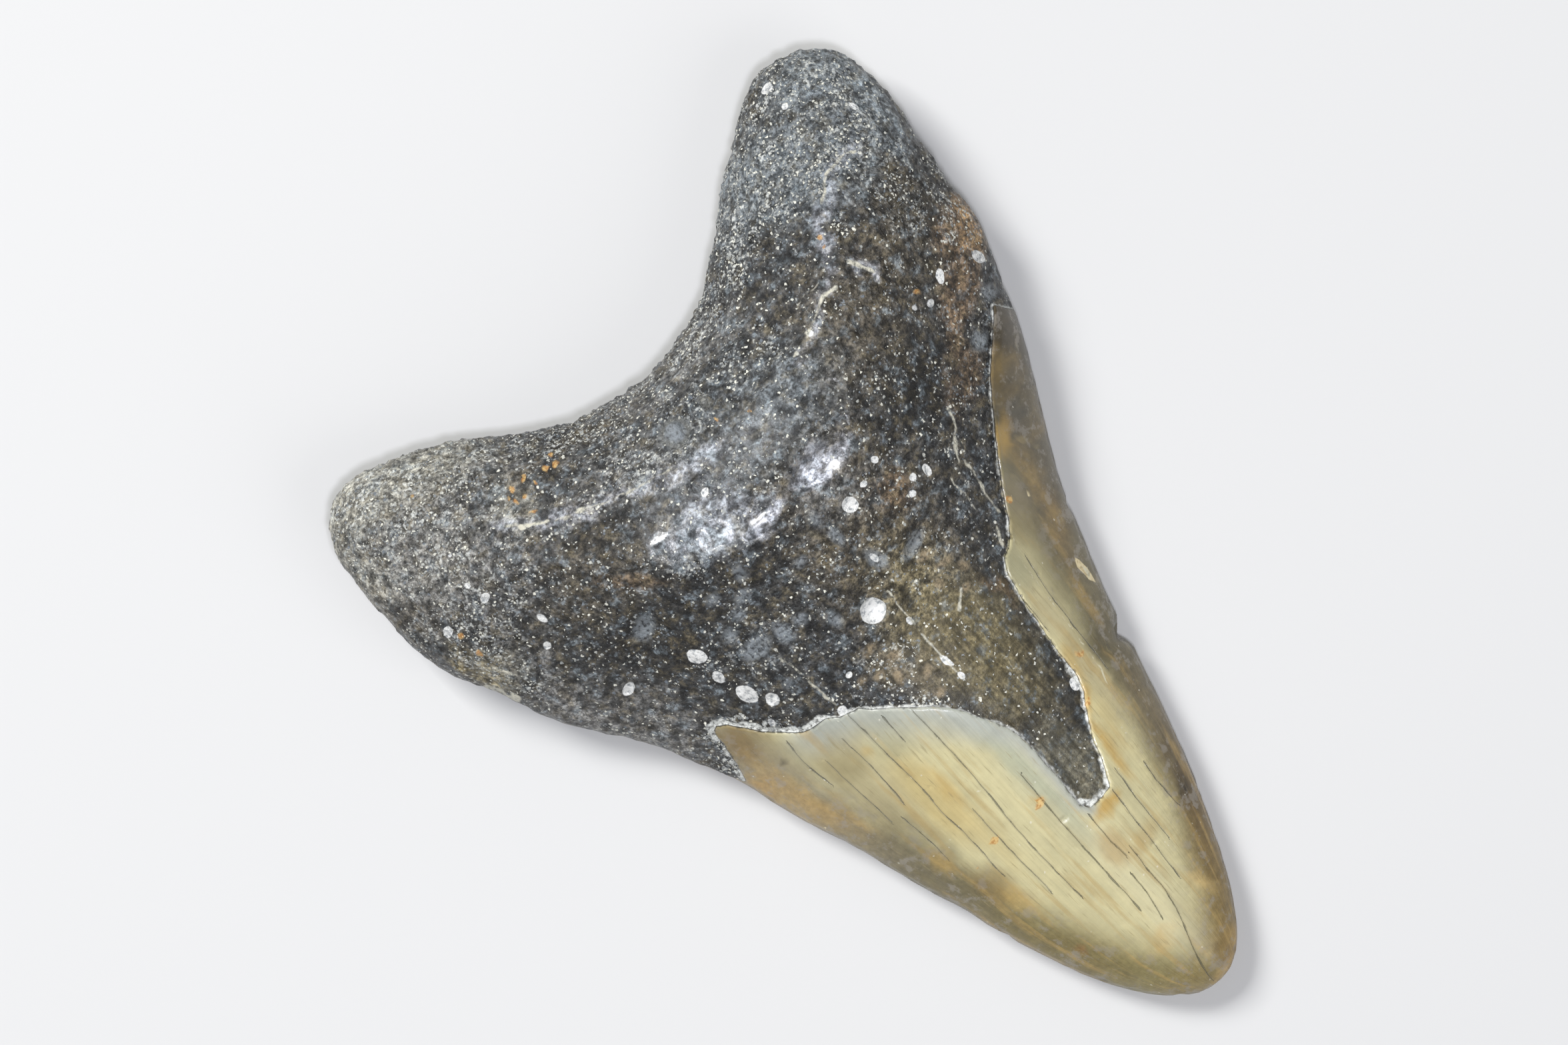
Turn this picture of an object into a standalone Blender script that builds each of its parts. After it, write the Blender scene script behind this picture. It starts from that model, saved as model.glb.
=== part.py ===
"""A fossil megalodon tooth lying on its flat outer face, as one solid of root and crown.

Metres, +Z up. +Y runs from the tip of the crown to the root, and the bulging inner face looks up.
The origin is on the resting plane, under the middle of the tooth.
"""

import math

import bmesh
import bpy
import numpy as np
from mathutils import Vector, noise
from mathutils.geometry import delaunay_2d_cdt

MM = 0.001

# The edge of the tooth seen from above, in millimetres, with the tip of the crown at y = 0.
RIGHT_BLADE = [
    (-1.1, 0.0), (1.3, 0.4), (3.3, 1.8), (5.1, 4.1), (6.9, 7.1), (8.7, 10.8), (10.2, 14.3),
    (11.5, 17.5), (12.5, 20.3), (13.7, 23.8), (14.9, 27.9), (15.7, 30.2), (15.3, 31.3), (16.1, 32.2),
    (17.5, 36.2), (19.4, 41.2), (21.1, 45.6), (23.3, 49.9), (25.7, 54.1), (28.8, 59.8),
]
RIGHT_LOBE = [
    (30.4, 64.2), (32.3, 68.6), (33.0, 71.8), (33.2, 75.0), (33.9, 78.9), (34.6, 82.6), (34.8, 86.0),
    (34.4, 89.5), (33.6, 92.1), (31.8, 93.8), (29.3, 94.7), (27.5, 95.2), (25.6, 94.8), (22.6, 93.3),
    (19.3, 91.1), (16.2, 89.3), (13.8, 87.1), (11.0, 85.2),
]
NOTCH = [
    (8.2, 83.1), (5.0, 82.0), (2.0, 81.3), (-1.5, 81.1), (-5.0, 81.7), (-8.4, 82.5), (-10.6, 83.4),
    (-11.2, 84.4), (-12.8, 84.8),
]
LEFT_LOBE = [
    (-15.0, 86.4), (-17.8, 88.6), (-21.4, 90.6), (-25.3, 92.5), (-29.2, 93.7), (-31.9, 93.0),
    (-33.8, 91.2), (-34.9, 88.6), (-35.5, 85.0), (-35.8, 80.4), (-35.5, 76.3), (-34.5, 72.2),
    (-32.5, 68.6), (-31.4, 65.0),
]
LEFT_BLADE = [
    (-29.4, 60.8), (-26.6, 57.0), (-24.4, 52.8), (-22.4, 48.2), (-21.2, 45.0), (-20.7, 42.6),
    (-19.4, 38.3), (-17.8, 33.8), (-16.5, 29.2), (-15.2, 24.8), (-14.2, 22.3), (-13.6, 19.3),
    (-12.2, 15.0), (-10.4, 10.2), (-8.4, 6.2), (-6.0, 2.9), (-3.4, 0.7),
]
EDGE = RIGHT_BLADE + RIGHT_LOBE + NOTCH + LEFT_LOBE + LEFT_BLADE

# Where the enamel ends on the inner face, from the left blade, round the bare tongue, to the right blade.
ENAMEL_LINE = [
    (-21.6, 45.0), (-20.5, 47.2), (-20.1, 50.0), (-19.5, 51.9), (-18.1, 50.6), (-16.5, 48.3),
    (-14.3, 46.0), (-11.4, 45.2), (-9.2, 44.0), (-7.2, 42.8), (-4.0, 40.1), (-1.7, 38.0), (-0.5, 35.6),
    (0.9, 33.4), (1.5, 30.4), (1.4, 26.0), (1.2, 22.0), (2.7, 21.3), (4.3, 21.7), (5.6, 24.2),
    (7.0, 27.2), (8.9, 30.2), (9.5, 33.6), (10.0, 38.0), (10.8, 42.4), (12.2, 44.7), (14.2, 46.0),
    (16.2, 49.2), (18.6, 52.9), (21.2, 55.9), (25.0, 59.8), (28.1, 63.2), (29.2, 61.0),
]
# Where the enamel ends on the outer face, from the left blade to the right one.
OUTER_ENAMEL_LINE = [
    (-27.6, 56.6), (-21.0, 55.2), (-12.0, 56.6), (0.0, 58.0), (12.0, 57.4), (22.0, 57.6), (29.6, 61.0),
]

# Heights above the resting plane, in millimetres: the outer edge by y, then spots on each face.
EDGE_HEIGHT = [(0, 2.3), (12, 2.3), (30, 2.5), (48, 3.0), (60, 3.8), (70, 4.9), (80, 5.7), (95, 5.8)]
EDGE_HALF_THICKNESS = [(0, 1.0), (8, 0.7), (45, 0.7), (58, 1.6), (70, 3.2), (80, 4.0), (95, 4.0)]
INNER_SPOTS = [
    (-1.0, 3.0, 4.9), (-0.9, 10.0, 7.4), (-0.8, 20.0, 10.2), (-0.6, 30.0, 12.6), (-0.3, 40.0, 14.8),
    (0.0, 48.0, 16.6), (0.0, 54.0, 18.6), (0.0, 59.0, 20.4), (0.0, 63.5, 21.6), (0.0, 69.0, 20.4),
    (0.0, 74.0, 17.6), (0.0, 77.5, 14.4),
    (-7.0, 65.2, 21.1), (-12.5, 67.4, 19.8), (-19.5, 71.0, 17.6), (-26.0, 76.5, 15.0), (-29.5, 84.0, 12.2),
    (-12.0, 73.5, 17.8), (-18.0, 79.0, 15.4), (-24.0, 85.5, 12.6),
    (-9.0, 57.0, 17.6), (-17.0, 62.0, 15.0), (-25.0, 67.5, 12.2), (-19.0, 55.0, 10.6),
    (7.0, 65.0, 20.9), (12.5, 67.2, 19.6), (18.5, 70.4, 17.8), (25.0, 76.0, 15.2), (28.5, 84.0, 12.6),
    (11.0, 73.5, 17.8), (17.0, 79.0, 15.6), (23.5, 86.0, 13.0),
    (9.0, 57.0, 17.8), (17.0, 62.0, 15.4), (24.0, 67.0, 12.6), (19.0, 55.0, 11.0),
]
OUTER_SPOTS = [
    (-1.0, 4.0, 1.0), (-0.9, 14.0, 0.1), (-0.6, 30.0, -0.25), (-0.3, 44.0, 0.1), (0.0, 56.0, 0.9),
    (0.0, 66.0, 1.4), (0.0, 75.0, 1.8), (-14.0, 72.0, 0.9), (-21.0, 78.0, 0.1), (-26.5, 84.0, -0.35),
    (14.0, 72.5, 0.9), (21.0, 79.0, 0.1), (26.5, 86.0, -0.35),
]

# Relief on the inner face: the enamel's raised edge, dents as (x, y, half length, half width, turn, depth).
ENAMEL_STEP = 0.4
STEP_WIDTH = 0.7
DENTS = [
    (4.6, 63.6, 3.6, 1.7, 0.0, 0.7),
    (-0.8, 50.0, 1.5, 1.4, 0.0, 0.45),
    (-2.8, 75.1, 1.7, 1.5, 0.3, 0.5),
    (-18.0, 63.2, 2.6, 2.0, 0.4, 0.5),
    (6.4, 51.9, 2.2, 1.1, 0.3, 0.35),
    (-4.4, 69.4, 1.6, 1.2, 0.8, 0.5),
    (22.6, 74.0, 0.9, 2.4, 0.35, 0.35),
]
# Blunt ridges along the lobes as (points, height).
RIDGES = [
    ([(-24.0, 81.0), (-20.4, 79.0), (-17.0, 77.2), (-13.0, 75.3), (-8.0, 73.2), (-4.0, 72.2)], 0.4),
    ([(10.0, 72.2), (13.4, 73.2), (16.4, 74.7), (19.4, 77.4), (22.0, 80.8), (26.0, 83.6)], 0.35),
]
RIDGE_WIDTH = 1.6
LUMP_SIZE = 5.5
LUMP_HEIGHT = 0.28
LEAST_LUMP_SHARE = 0.15
OUTER_LUMP_SHARE = 0.5
ROOT_TOP_OF_CROWN = 45.0
LUMP_FADE = 16.0
# All relief fades out this near the edge, which stays as it is drawn above.
RELIEF_FADE = 2.0

# Mesh spacing, in millimetres.
CURVE_PARTS = 12
LEAST_GAP = 0.4
ROW_SHARE = math.sqrt(0.75)
EDGE_STEP = 1.7
RING_DEPTHS = (0.35, 1.1, 2.3)
INNER_GRID_STEP = 1.4
OUTER_GRID_STEP = 2.4
LINE_STEP = 1.3
DENT_RINGS = ((0.5, 6), (0.85, 9), (1.3, 11))

ROOT_COLOUR = (0.045, 0.043, 0.044, 1.0)
ENAMEL_COLOUR = (0.42, 0.36, 0.20, 1.0)
ROOT_ROUGHNESS = 0.55
ENAMEL_ROUGHNESS = 0.3


def smooth_curve(points, step, closed):
    """Points about one step apart on a Catmull-Rom curve through the given ones."""
    given = np.array(points, float)
    count = len(given)
    spans = count if closed else count - 1
    made = []
    for i in range(spans):
        if closed:
            a, b, c, d = (given[(i + k) % count] for k in (-1, 0, 1, 2))
        else:
            a, b, c, d = (given[min(max(i + k, 0), count - 1)] for k in (-1, 0, 1, 2))
        for t in np.linspace(0, 1, CURVE_PARTS, endpoint=False):
            quadratic = (2 * a - 5 * b + 4 * c - d) * t**2
            cubic = (3 * b - a - 3 * c + d) * t**3
            made.append((2 * b + (c - a) * t + quadratic + cubic) / 2)
    made.append(given[0] if closed else given[-1])
    made = np.array(made)
    along = np.concatenate([[0], np.cumsum(np.linalg.norm(np.diff(made, axis=0), axis=1))])
    pieces = max(3, round(along[-1] / step))
    wanted = np.linspace(0, along[-1], pieces, endpoint=False)
    if not closed:
        wanted = np.append(wanted, along[-1])
    return np.column_stack([np.interp(wanted, along, made[:, k]) for k in (0, 1)])


def to_segments(places, line, closed):
    """For each place and segment of a line: how far along it, how far off it, and the segment's length."""
    ends = np.roll(line, -1, axis=0) if closed else line[1:]
    starts = line if closed else line[:-1]
    runs = ends - starts
    lengths = np.linalg.norm(runs, axis=1)
    units = runs / lengths[:, None]
    offsets = places[:, None, :] - starts[None]
    along = (offsets * units[None]).sum(2)
    off = offsets[..., 0] * units[None, :, 1] - offsets[..., 1] * units[None, :, 0]
    return along, off, lengths


def distance_to(places, line, closed=False):
    """The shortest distance from each place to a line."""
    along, off, lengths = to_segments(places, line, closed)
    past = np.maximum(0, np.maximum(-along, along - lengths[None]))
    return np.sqrt(off**2 + past**2).min(axis=1)


def soft_depth(places):
    """How deep each place lies inside the edge, without the creases that a plain distance has in the middle.

    It is the distance from one straight edge, and less than that where several edges are near.
    """
    along, off, lengths = to_segments(places, EDGE_CURVE, True)
    off = np.maximum(np.abs(off), 1e-4)
    ahead = lengths[None] - along
    pull = (ahead / np.hypot(ahead, off) + along / np.hypot(along, off)) / off**2
    return np.sqrt(2 / pull.sum(axis=1))


def inside(places, loop):
    """Which places lie inside a closed loop."""
    x, y = places[:, 0][:, None], places[:, 1][:, None]
    x0, y0 = loop[:, 0][None], loop[:, 1][None]
    x1, y1 = np.roll(loop, -1, axis=0).T[:, None, :]
    crosses = (y0 > y) != (y1 > y)
    reach = x0 + (y - y0) * (x1 - x0) / np.where(y1 == y0, 1e-9, y1 - y0)
    return (crosses & (x < reach)).sum(axis=1) % 2 == 1


def by_station(y, table):
    """A value that is stated at some stations along the tooth, between them."""
    stations, values = np.array(table, float).T
    return np.interp(y, stations, values)


def spline_weights(spots, values):
    """A thin-plate spline through the values at the spots."""
    count = len(spots)
    gaps = np.linalg.norm(spots[:, None] - spots[None], axis=2)
    kernel = np.where(gaps > 0, gaps**2 * np.log(np.maximum(gaps, 1e-9)), 0.0)
    plane = np.column_stack([np.ones(count), spots])
    system = np.block([[kernel, plane], [plane.T, np.zeros((3, 3))]])
    return np.linalg.solve(system, np.append(values, [0, 0, 0]))


def spline_at(places, spots, weights):
    gaps = np.linalg.norm(places[:, None] - spots[None], axis=2)
    kernel = np.where(gaps > 0, gaps**2 * np.log(np.maximum(gaps, 1e-9)), 0.0)
    return kernel @ weights[:-3] + np.column_stack([np.ones(len(places)), places]) @ weights[-3:]


def rounded_edge(depth, half_thickness):
    """The quarter ellipse from the outermost edge to the full half thickness."""
    share = np.clip(depth / half_thickness, 0, 1)
    return half_thickness * np.sqrt(1 - (1 - share) ** 2)


def face_height(places, spots, side):
    """The height of one face: the edge, its rounding, and a swelling that meets the stated spots."""
    spots = np.array(spots, float)

    def base(points):
        y = points[:, 1]
        depth = soft_depth(points)
        rounding = rounded_edge(depth, by_station(y, EDGE_HALF_THICKNESS))
        return depth, by_station(y, EDGE_HEIGHT) + side * rounding

    depth, level = base(spots[:, :2])
    weights = spline_weights(spots[:, :2], (spots[:, 2] - level) / depth)
    depth, level = base(places)
    return level + depth * spline_at(places, spots[:, :2], weights)


def enamel_loop(line):
    """The enamel line closed round the tip, well outside the edge."""
    (left_x, left_y), (right_x, right_y) = line[0], line[-1]
    margin = 12.0
    around = [(right_x + margin, right_y - margin), (right_x + margin, -margin)]
    around += [(left_x - margin, -margin), (left_x - margin, left_y - margin)]
    return np.vstack([line, around])


def enamel_depth(places, line):
    """Distance into the enamel, negative on the bare side."""
    distance = distance_to(places, line)
    return np.where(inside(places, enamel_loop(line)), distance, -distance)


def dent(places, x, y, half_length, half_width, turn, depth):
    """A shallow bowl."""
    dx, dy = places[:, 0] - x, places[:, 1] - y
    along = dx * math.cos(turn) + dy * math.sin(turn)
    across = dy * math.cos(turn) - dx * math.sin(turn)
    share = (along / half_length) ** 2 + (across / half_width) ** 2
    return -depth * np.exp(-(share**2))


def lumps(places, layer):
    """Low swellings of the root, which fade out down the crown."""
    found = [noise.noise(Vector((x / LUMP_SIZE, y / LUMP_SIZE, layer))) for x, y in places]
    fade = np.clip((places[:, 1] - ROOT_TOP_OF_CROWN) / LUMP_FADE + 0.5, LEAST_LUMP_SHARE, 1)
    return LUMP_HEIGHT * fade * np.array(found)


def inner_face(places):
    """The bulging face, with the boss, the ridges, the dents and the step up to the enamel."""
    height = face_height(places, INNER_SPOTS, 1)
    fade = np.clip(soft_depth(places) / RELIEF_FADE, 0, 1)
    relief = ENAMEL_STEP * np.clip(enamel_depth(places, INNER_LINE) / STEP_WIDTH + 0.5, 0, 1)
    relief += lumps(places, 1.7)
    for ridge, rise in RIDGES:
        relief += rise * np.exp(-((distance_to(places, np.array(ridge)) / RIDGE_WIDTH) ** 2))
    for row in DENTS:
        relief += dent(places, *row)
    return height + fade * relief


def outer_face(places):
    """The flat face, which is cut level where it rests."""
    height = face_height(places, OUTER_SPOTS, -1)
    fade = np.clip(soft_depth(places) / RELIEF_FADE, 0, 1)
    return np.maximum(height + fade * OUTER_LUMP_SHARE * lumps(places, 8.3), 0)


def edge_heights():
    return by_station(EDGE_CURVE[:, 1], EDGE_HEIGHT)


def inward(loop):
    """Unit vectors into a loop that runs anticlockwise."""
    runs = np.roll(loop, -1, axis=0) - np.roll(loop, 1, axis=0)
    runs /= np.linalg.norm(runs, axis=1)[:, None]
    return np.column_stack([-runs[:, 1], runs[:, 0]])


def dent_points(x, y, half_length, half_width, turn):
    """Points round a dent, so that the mesh follows its rim."""
    made = [(x, y)]
    for size, count in DENT_RINGS:
        for angle in np.linspace(0, 2 * math.pi, count, endpoint=False):
            along = size * half_length * math.cos(angle)
            across = size * half_width * math.sin(angle)
            dx = along * math.cos(turn) - across * math.sin(turn)
            dy = along * math.sin(turn) + across * math.cos(turn)
            made.append((x + dx, y + dy))
    return np.array(made)


def spread_points(line, dents, grid_step):
    """A face's points: rings inside the edge, both sides of the enamel line, round the dents, and a grid."""
    rings = [EDGE_CURVE + inward(EDGE_CURVE) * depth for depth in RING_DEPTHS]
    rings = np.vstack([ring[k % 2 :: 2] if k else ring for k, ring in enumerate(rings)])
    run = np.gradient(line, axis=0)
    side = np.column_stack([-run[:, 1], run[:, 0]]) / np.linalg.norm(run, axis=1)[:, None]
    steps = np.vstack([line + side * STEP_WIDTH / 2, line - side * STEP_WIDTH / 2])
    deep = distance_to(steps, EDGE_CURVE, True) > RING_DEPTHS[0] * 1.5
    steps = steps[deep & inside(steps, EDGE_CURVE)]
    low, high = EDGE_CURVE.min(axis=0), EDGE_CURVE.max(axis=0)
    grid = []
    for row, y in enumerate(np.arange(low[1], high[1], grid_step * ROW_SHARE)):
        grid += [(x, y) for x in np.arange(low[0] + (row % 2) * grid_step / 2, high[0], grid_step)]
    grid = np.array(grid)
    grid = grid[inside(grid, EDGE_CURVE)]
    grid = grid[distance_to(grid, EDGE_CURVE, True) > RING_DEPTHS[-1] + 0.5 * grid_step]
    grid = grid[distance_to(grid, line) > STEP_WIDTH / 2 + 0.35 * grid_step]
    rings = rings[nearest_gap(rings, steps) > LEAST_GAP]
    made = np.vstack([rings, steps])
    for row in dents:
        fresh = dent_points(*row[:5])
        grid = grid[nearest_gap(grid, fresh) > 0.45 * grid_step]
        made = np.vstack([made, fresh[nearest_gap(fresh, made) > LEAST_GAP]])
    return np.vstack([made, grid])


def nearest_gap(places, others):
    """How far each place is from the nearest of some others."""
    return np.linalg.norm(places[:, None] - others[None], axis=2).min(axis=1)


def add_face(mesh, edge_verts, line, places, height_of, upward):
    """One face of the tooth: a Delaunay triangulation of its own points inside the shared edge."""
    flat = [Vector(p) for p in np.vstack([EDGE_CURVE, places])]
    rim = list(range(len(EDGE_CURVE)))
    found, _, triangles, origins, _, _ = delaunay_2d_cdt(flat, [], [rim], 1, 1e-5)
    spots = np.array([tuple(v) for v in found])
    heights = height_of(spots)
    verts = []
    for (x, y), z, sources in zip(spots, heights, origins):
        on_edge = [i for i in sources if i < len(EDGE_CURVE)]
        verts.append(edge_verts[on_edge[0]] if on_edge else mesh.verts.new(at_origin(x, y, z)))
    centres = np.array([spots[list(t)].mean(axis=0) for t in triangles])
    in_enamel = inside(centres, enamel_loop(line))
    for corners, shiny in zip(triangles, in_enamel):
        face = mesh.faces.new([verts[i] for i in (corners if upward else reversed(corners))])
        face.material_index = int(shiny)
        face.smooth = True


def at_origin(x, y, z):
    """Millimetres from the tip to metres from the origin."""
    return Vector(((x - MIDDLE[0]) * MM, (y - MIDDLE[1]) * MM, z * MM))


def material(name, colour, roughness):
    made = bpy.data.materials.new(name)
    made.use_nodes = True
    shader = made.node_tree.nodes["Principled BSDF"]
    shader.inputs["Base Color"].default_value = colour
    shader.inputs["Roughness"].default_value = roughness
    made.diffuse_color = colour
    return made


def make_tooth():
    mesh = bmesh.new()
    edge_verts = [mesh.verts.new(at_origin(x, y, z)) for (x, y), z in zip(EDGE_CURVE, edge_heights())]
    inner_points = spread_points(INNER_LINE, DENTS, INNER_GRID_STEP)
    outer_points = spread_points(OUTER_LINE, [], OUTER_GRID_STEP)
    add_face(mesh, edge_verts, INNER_LINE, inner_points, inner_face, True)
    add_face(mesh, edge_verts, OUTER_LINE, outer_points, outer_face, False)
    bmesh.ops.recalc_face_normals(mesh, faces=mesh.faces)
    data = bpy.data.meshes.new("tooth")
    mesh.to_mesh(data)
    mesh.free()
    data.materials.append(material("dark fossil root", ROOT_COLOUR, ROOT_ROUGHNESS))
    data.materials.append(material("fossil enamel", ENAMEL_COLOUR, ENAMEL_ROUGHNESS))
    return bpy.data.objects.new("tooth", data)


for old in list(bpy.data.objects):
    bpy.data.objects.remove(old)

EDGE_CURVE = smooth_curve(EDGE, EDGE_STEP, True)
INNER_LINE = smooth_curve(ENAMEL_LINE, LINE_STEP, False)
OUTER_LINE = smooth_curve(OUTER_ENAMEL_LINE, LINE_STEP, False)
MIDDLE = (EDGE_CURVE.min(axis=0) + EDGE_CURVE.max(axis=0)) / 2

collection = bpy.data.collections.new("fossil megalodon tooth")
bpy.context.scene.collection.children.link(collection)
collection.objects.link(make_tooth())
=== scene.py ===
# %% [markdown]
# # A fossil megalodon tooth
#
# This is a single tooth of an extinct giant shark, about ten centimetres long, that turned to stone on the
# sea bed. It lies on its flat outer face, so the bulging inner face looks up at us. The upper half is the
# forked root, a dark and grainy bone-like tissue. The lower half is the crown, under a shell of smooth,
# striped enamel. Between them the root runs down into the crown as a bare tongue, and the enamel ends there
# in a low step.
#
# The solid already has the right outline, thickness, step and larger pits. Here it gets a much finer skin:
# first the relief that a finger would feel, as real geometry, and then the colours and the grain, as a
# material.

# %% Load the solid
import itertools
import math

import bmesh
import bpy
import numpy as np
from mathutils import Matrix, Vector, kdtree


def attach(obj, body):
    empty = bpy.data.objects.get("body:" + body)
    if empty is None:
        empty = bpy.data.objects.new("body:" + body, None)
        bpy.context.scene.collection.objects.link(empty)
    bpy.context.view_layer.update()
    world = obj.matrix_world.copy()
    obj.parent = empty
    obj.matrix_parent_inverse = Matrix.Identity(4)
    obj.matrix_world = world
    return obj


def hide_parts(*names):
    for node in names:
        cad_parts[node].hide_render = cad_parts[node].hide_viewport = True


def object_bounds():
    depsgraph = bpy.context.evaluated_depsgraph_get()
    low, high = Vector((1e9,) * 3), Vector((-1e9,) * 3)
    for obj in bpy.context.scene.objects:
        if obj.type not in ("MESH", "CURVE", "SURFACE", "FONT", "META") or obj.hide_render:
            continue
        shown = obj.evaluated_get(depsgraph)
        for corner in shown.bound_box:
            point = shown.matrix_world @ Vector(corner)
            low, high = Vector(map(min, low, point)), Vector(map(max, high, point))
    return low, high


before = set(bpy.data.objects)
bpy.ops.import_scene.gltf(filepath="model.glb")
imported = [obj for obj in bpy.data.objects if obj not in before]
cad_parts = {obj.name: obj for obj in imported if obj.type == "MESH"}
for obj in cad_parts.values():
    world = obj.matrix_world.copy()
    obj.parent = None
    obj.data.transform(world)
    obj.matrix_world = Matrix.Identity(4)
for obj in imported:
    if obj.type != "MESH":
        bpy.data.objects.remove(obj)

solid_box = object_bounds()
print("the solid measures", [round(1000 * side, 1) for side in solid_box[1] - solid_box[0]], "mm")

# %% [markdown]
# Every place on the tooth is easier to read as a ruler would give it. So we measure in millimetres from the
# tip of the crown: x runs to the right, y runs up towards the root, and z is the height above the table.

# %% Measures from the tip
MM = 0.001
TIP_IN_FRAME = (0.5, -47.57)


def to_tooth(points):
    """Metres in the frame to millimetres from the tip."""
    return np.asarray(points, float) / MM - np.array([*TIP_IN_FRAME, 0.0])


def to_frame(x, y, z=0.0):
    """Millimetres from the tip to metres in the frame."""
    return Vector(((x + TIP_IN_FRAME[0]) * MM, (y + TIP_IN_FRAME[1]) * MM, z * MM))


print("the tip lies at", tuple(round(side, 4) for side in to_frame(0, 0)), "in the frame")

# %% [markdown]
# ## Camera
#
# The tooth was looked at from straight above, with its tip at the lower right. A long lens keeps the bulge
# of the root from looking swollen. The camera hangs straight above the tooth and is turned about the
# vertical by a fixed angle, so that the tip comes to the lower right.

# %% Camera
PICTURE_WIDTH = 152.2
AIM = (-1.12, 61.69, 4.5)
LENS = 180.0
SENSOR = 36.0
TURN = math.radians(-43.28)

distance = PICTURE_WIDTH * LENS / SENSOR
camera = bpy.data.objects.new("camera", bpy.data.cameras.new("camera"))
camera.data.lens = LENS
camera.data.sensor_width = SENSOR
camera.data.clip_start = 0.01
above = to_frame(AIM[0], AIM[1], AIM[2] + distance)
camera.matrix_world = Matrix.Translation(above) @ Matrix.Rotation(TURN, 4, "Z")
bpy.context.scene.collection.objects.link(camera)
bpy.context.scene.camera = camera
print("the camera hangs", round(distance), "mm above the tooth")

# %% [markdown]
# ## Light and floor
#
# Three soft lights show the tooth. The main one stands on the root's side, so the slope that falls to the
# crown is a little darker. A small one hangs near the camera, and the polished top of the bulge mirrors it
# as a sharp shine. A wide one on the crown's side keeps the shadows open. They are area lights, because the
# size of a light, and not its strength, makes a shadow soft.


# %% Lights
LIGHT_TARGET = (0, 55, 8)
SKY = (0.95, 0.97, 1.0, 1.0)
SKY_STRENGTH = 0.2


def soft_light(name, side, place, watts, tint=(1.0, 1.0, 1.0)):
    """A square softbox that faces the tooth."""
    data = bpy.data.lights.new(name, "AREA")
    data.shape = "SQUARE"
    data.size = side
    data.energy = watts
    data.color = tint
    light = bpy.data.objects.new(name, data)
    light.location = to_frame(*place)
    light.rotation_euler = (to_frame(*LIGHT_TARGET) - light.location).to_track_quat("-Z", "Y").to_euler()
    bpy.context.scene.collection.objects.link(light)


soft_light("main softbox", side=0.4, place=(-140, 885, 832), watts=13.6)
soft_light("shine softbox", side=0.07, place=(-25, -10, 690), watts=2.2, tint=(0.9, 0.91, 1.0))
soft_light("fill softbox", side=1.0, place=(240, -895, 832), watts=4.3)

world = bpy.data.worlds.new("studio")
world.use_nodes = True
sky = world.node_tree.nodes["Background"].inputs
sky["Color"].default_value = SKY
sky["Strength"].default_value = SKY_STRENGTH
bpy.context.scene.world = world
bpy.context.scene.view_settings.view_transform = "Standard"

# %% Floor
FLOOR_GREY = (0.62, 0.62, 0.61, 1.0)
FLOOR_SIDE = 4.0
FLOOR_DROP = 0.0002

bpy.ops.mesh.primitive_plane_add(size=FLOOR_SIDE, location=(0, 0, -FLOOR_DROP))
floor = bpy.context.object
floor.name = "floor"
floor_paint = bpy.data.materials.new("pale floor")
floor_paint.use_nodes = True
matt = floor_paint.node_tree.nodes["Principled BSDF"].inputs
matt["Base Color"].default_value = FLOOR_GREY
matt["Roughness"].default_value = 1.0
matt["Specular IOR Level"].default_value = 0.1
floor.data.materials.append(floor_paint)
print("the floor is", floor.dimensions.x, "m wide")

# %% [markdown]
# ## A fine skin on the solid
#
# The solid's triangles are over a millimetre long, which is far too coarse for grain. We could paint the
# grain on as a bump texture alone, but then the edge of the root would stay smooth, and it is visibly
# gritty. So the solid is subdivided until its facets vanish, and a voxel remesh lays an even net of small
# squares over it. An even net is what relief needs: every point can be moved by what it finds at its own
# place.

# %% Remesh
SKIN_STEP = 0.25
SMOOTH_LEVELS = 2
WELD_GAP = 1e-6


def evaluated_copy(piece):
    """The mesh of a piece with its modifiers applied."""
    depsgraph = bpy.context.evaluated_depsgraph_get()
    return bpy.data.meshes.new_from_object(piece.evaluated_get(depsgraph))


def fine_skin():
    """An even net of squares over the smoothed solid."""
    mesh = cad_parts["tooth"].data.copy()
    mesh.materials.clear()
    welded = bmesh.new()
    welded.from_mesh(mesh)
    bmesh.ops.remove_doubles(welded, verts=welded.verts, dist=WELD_GAP)
    welded.to_mesh(mesh)
    welded.free()
    piece = bpy.data.objects.new("fossil_tooth", mesh)
    bpy.context.scene.collection.objects.link(piece)
    smooth = piece.modifiers.new("smooth", "SUBSURF")
    smooth.levels = SMOOTH_LEVELS
    smooth.render_levels = SMOOTH_LEVELS
    net = piece.modifiers.new("net", "REMESH")
    net.mode = "VOXEL"
    net.voxel_size = SKIN_STEP * MM
    piece.data = evaluated_copy(piece)
    piece.modifiers.clear()
    return piece


tooth = fine_skin()
print("the skin has", len(tooth.data.polygons), "squares")
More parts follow.
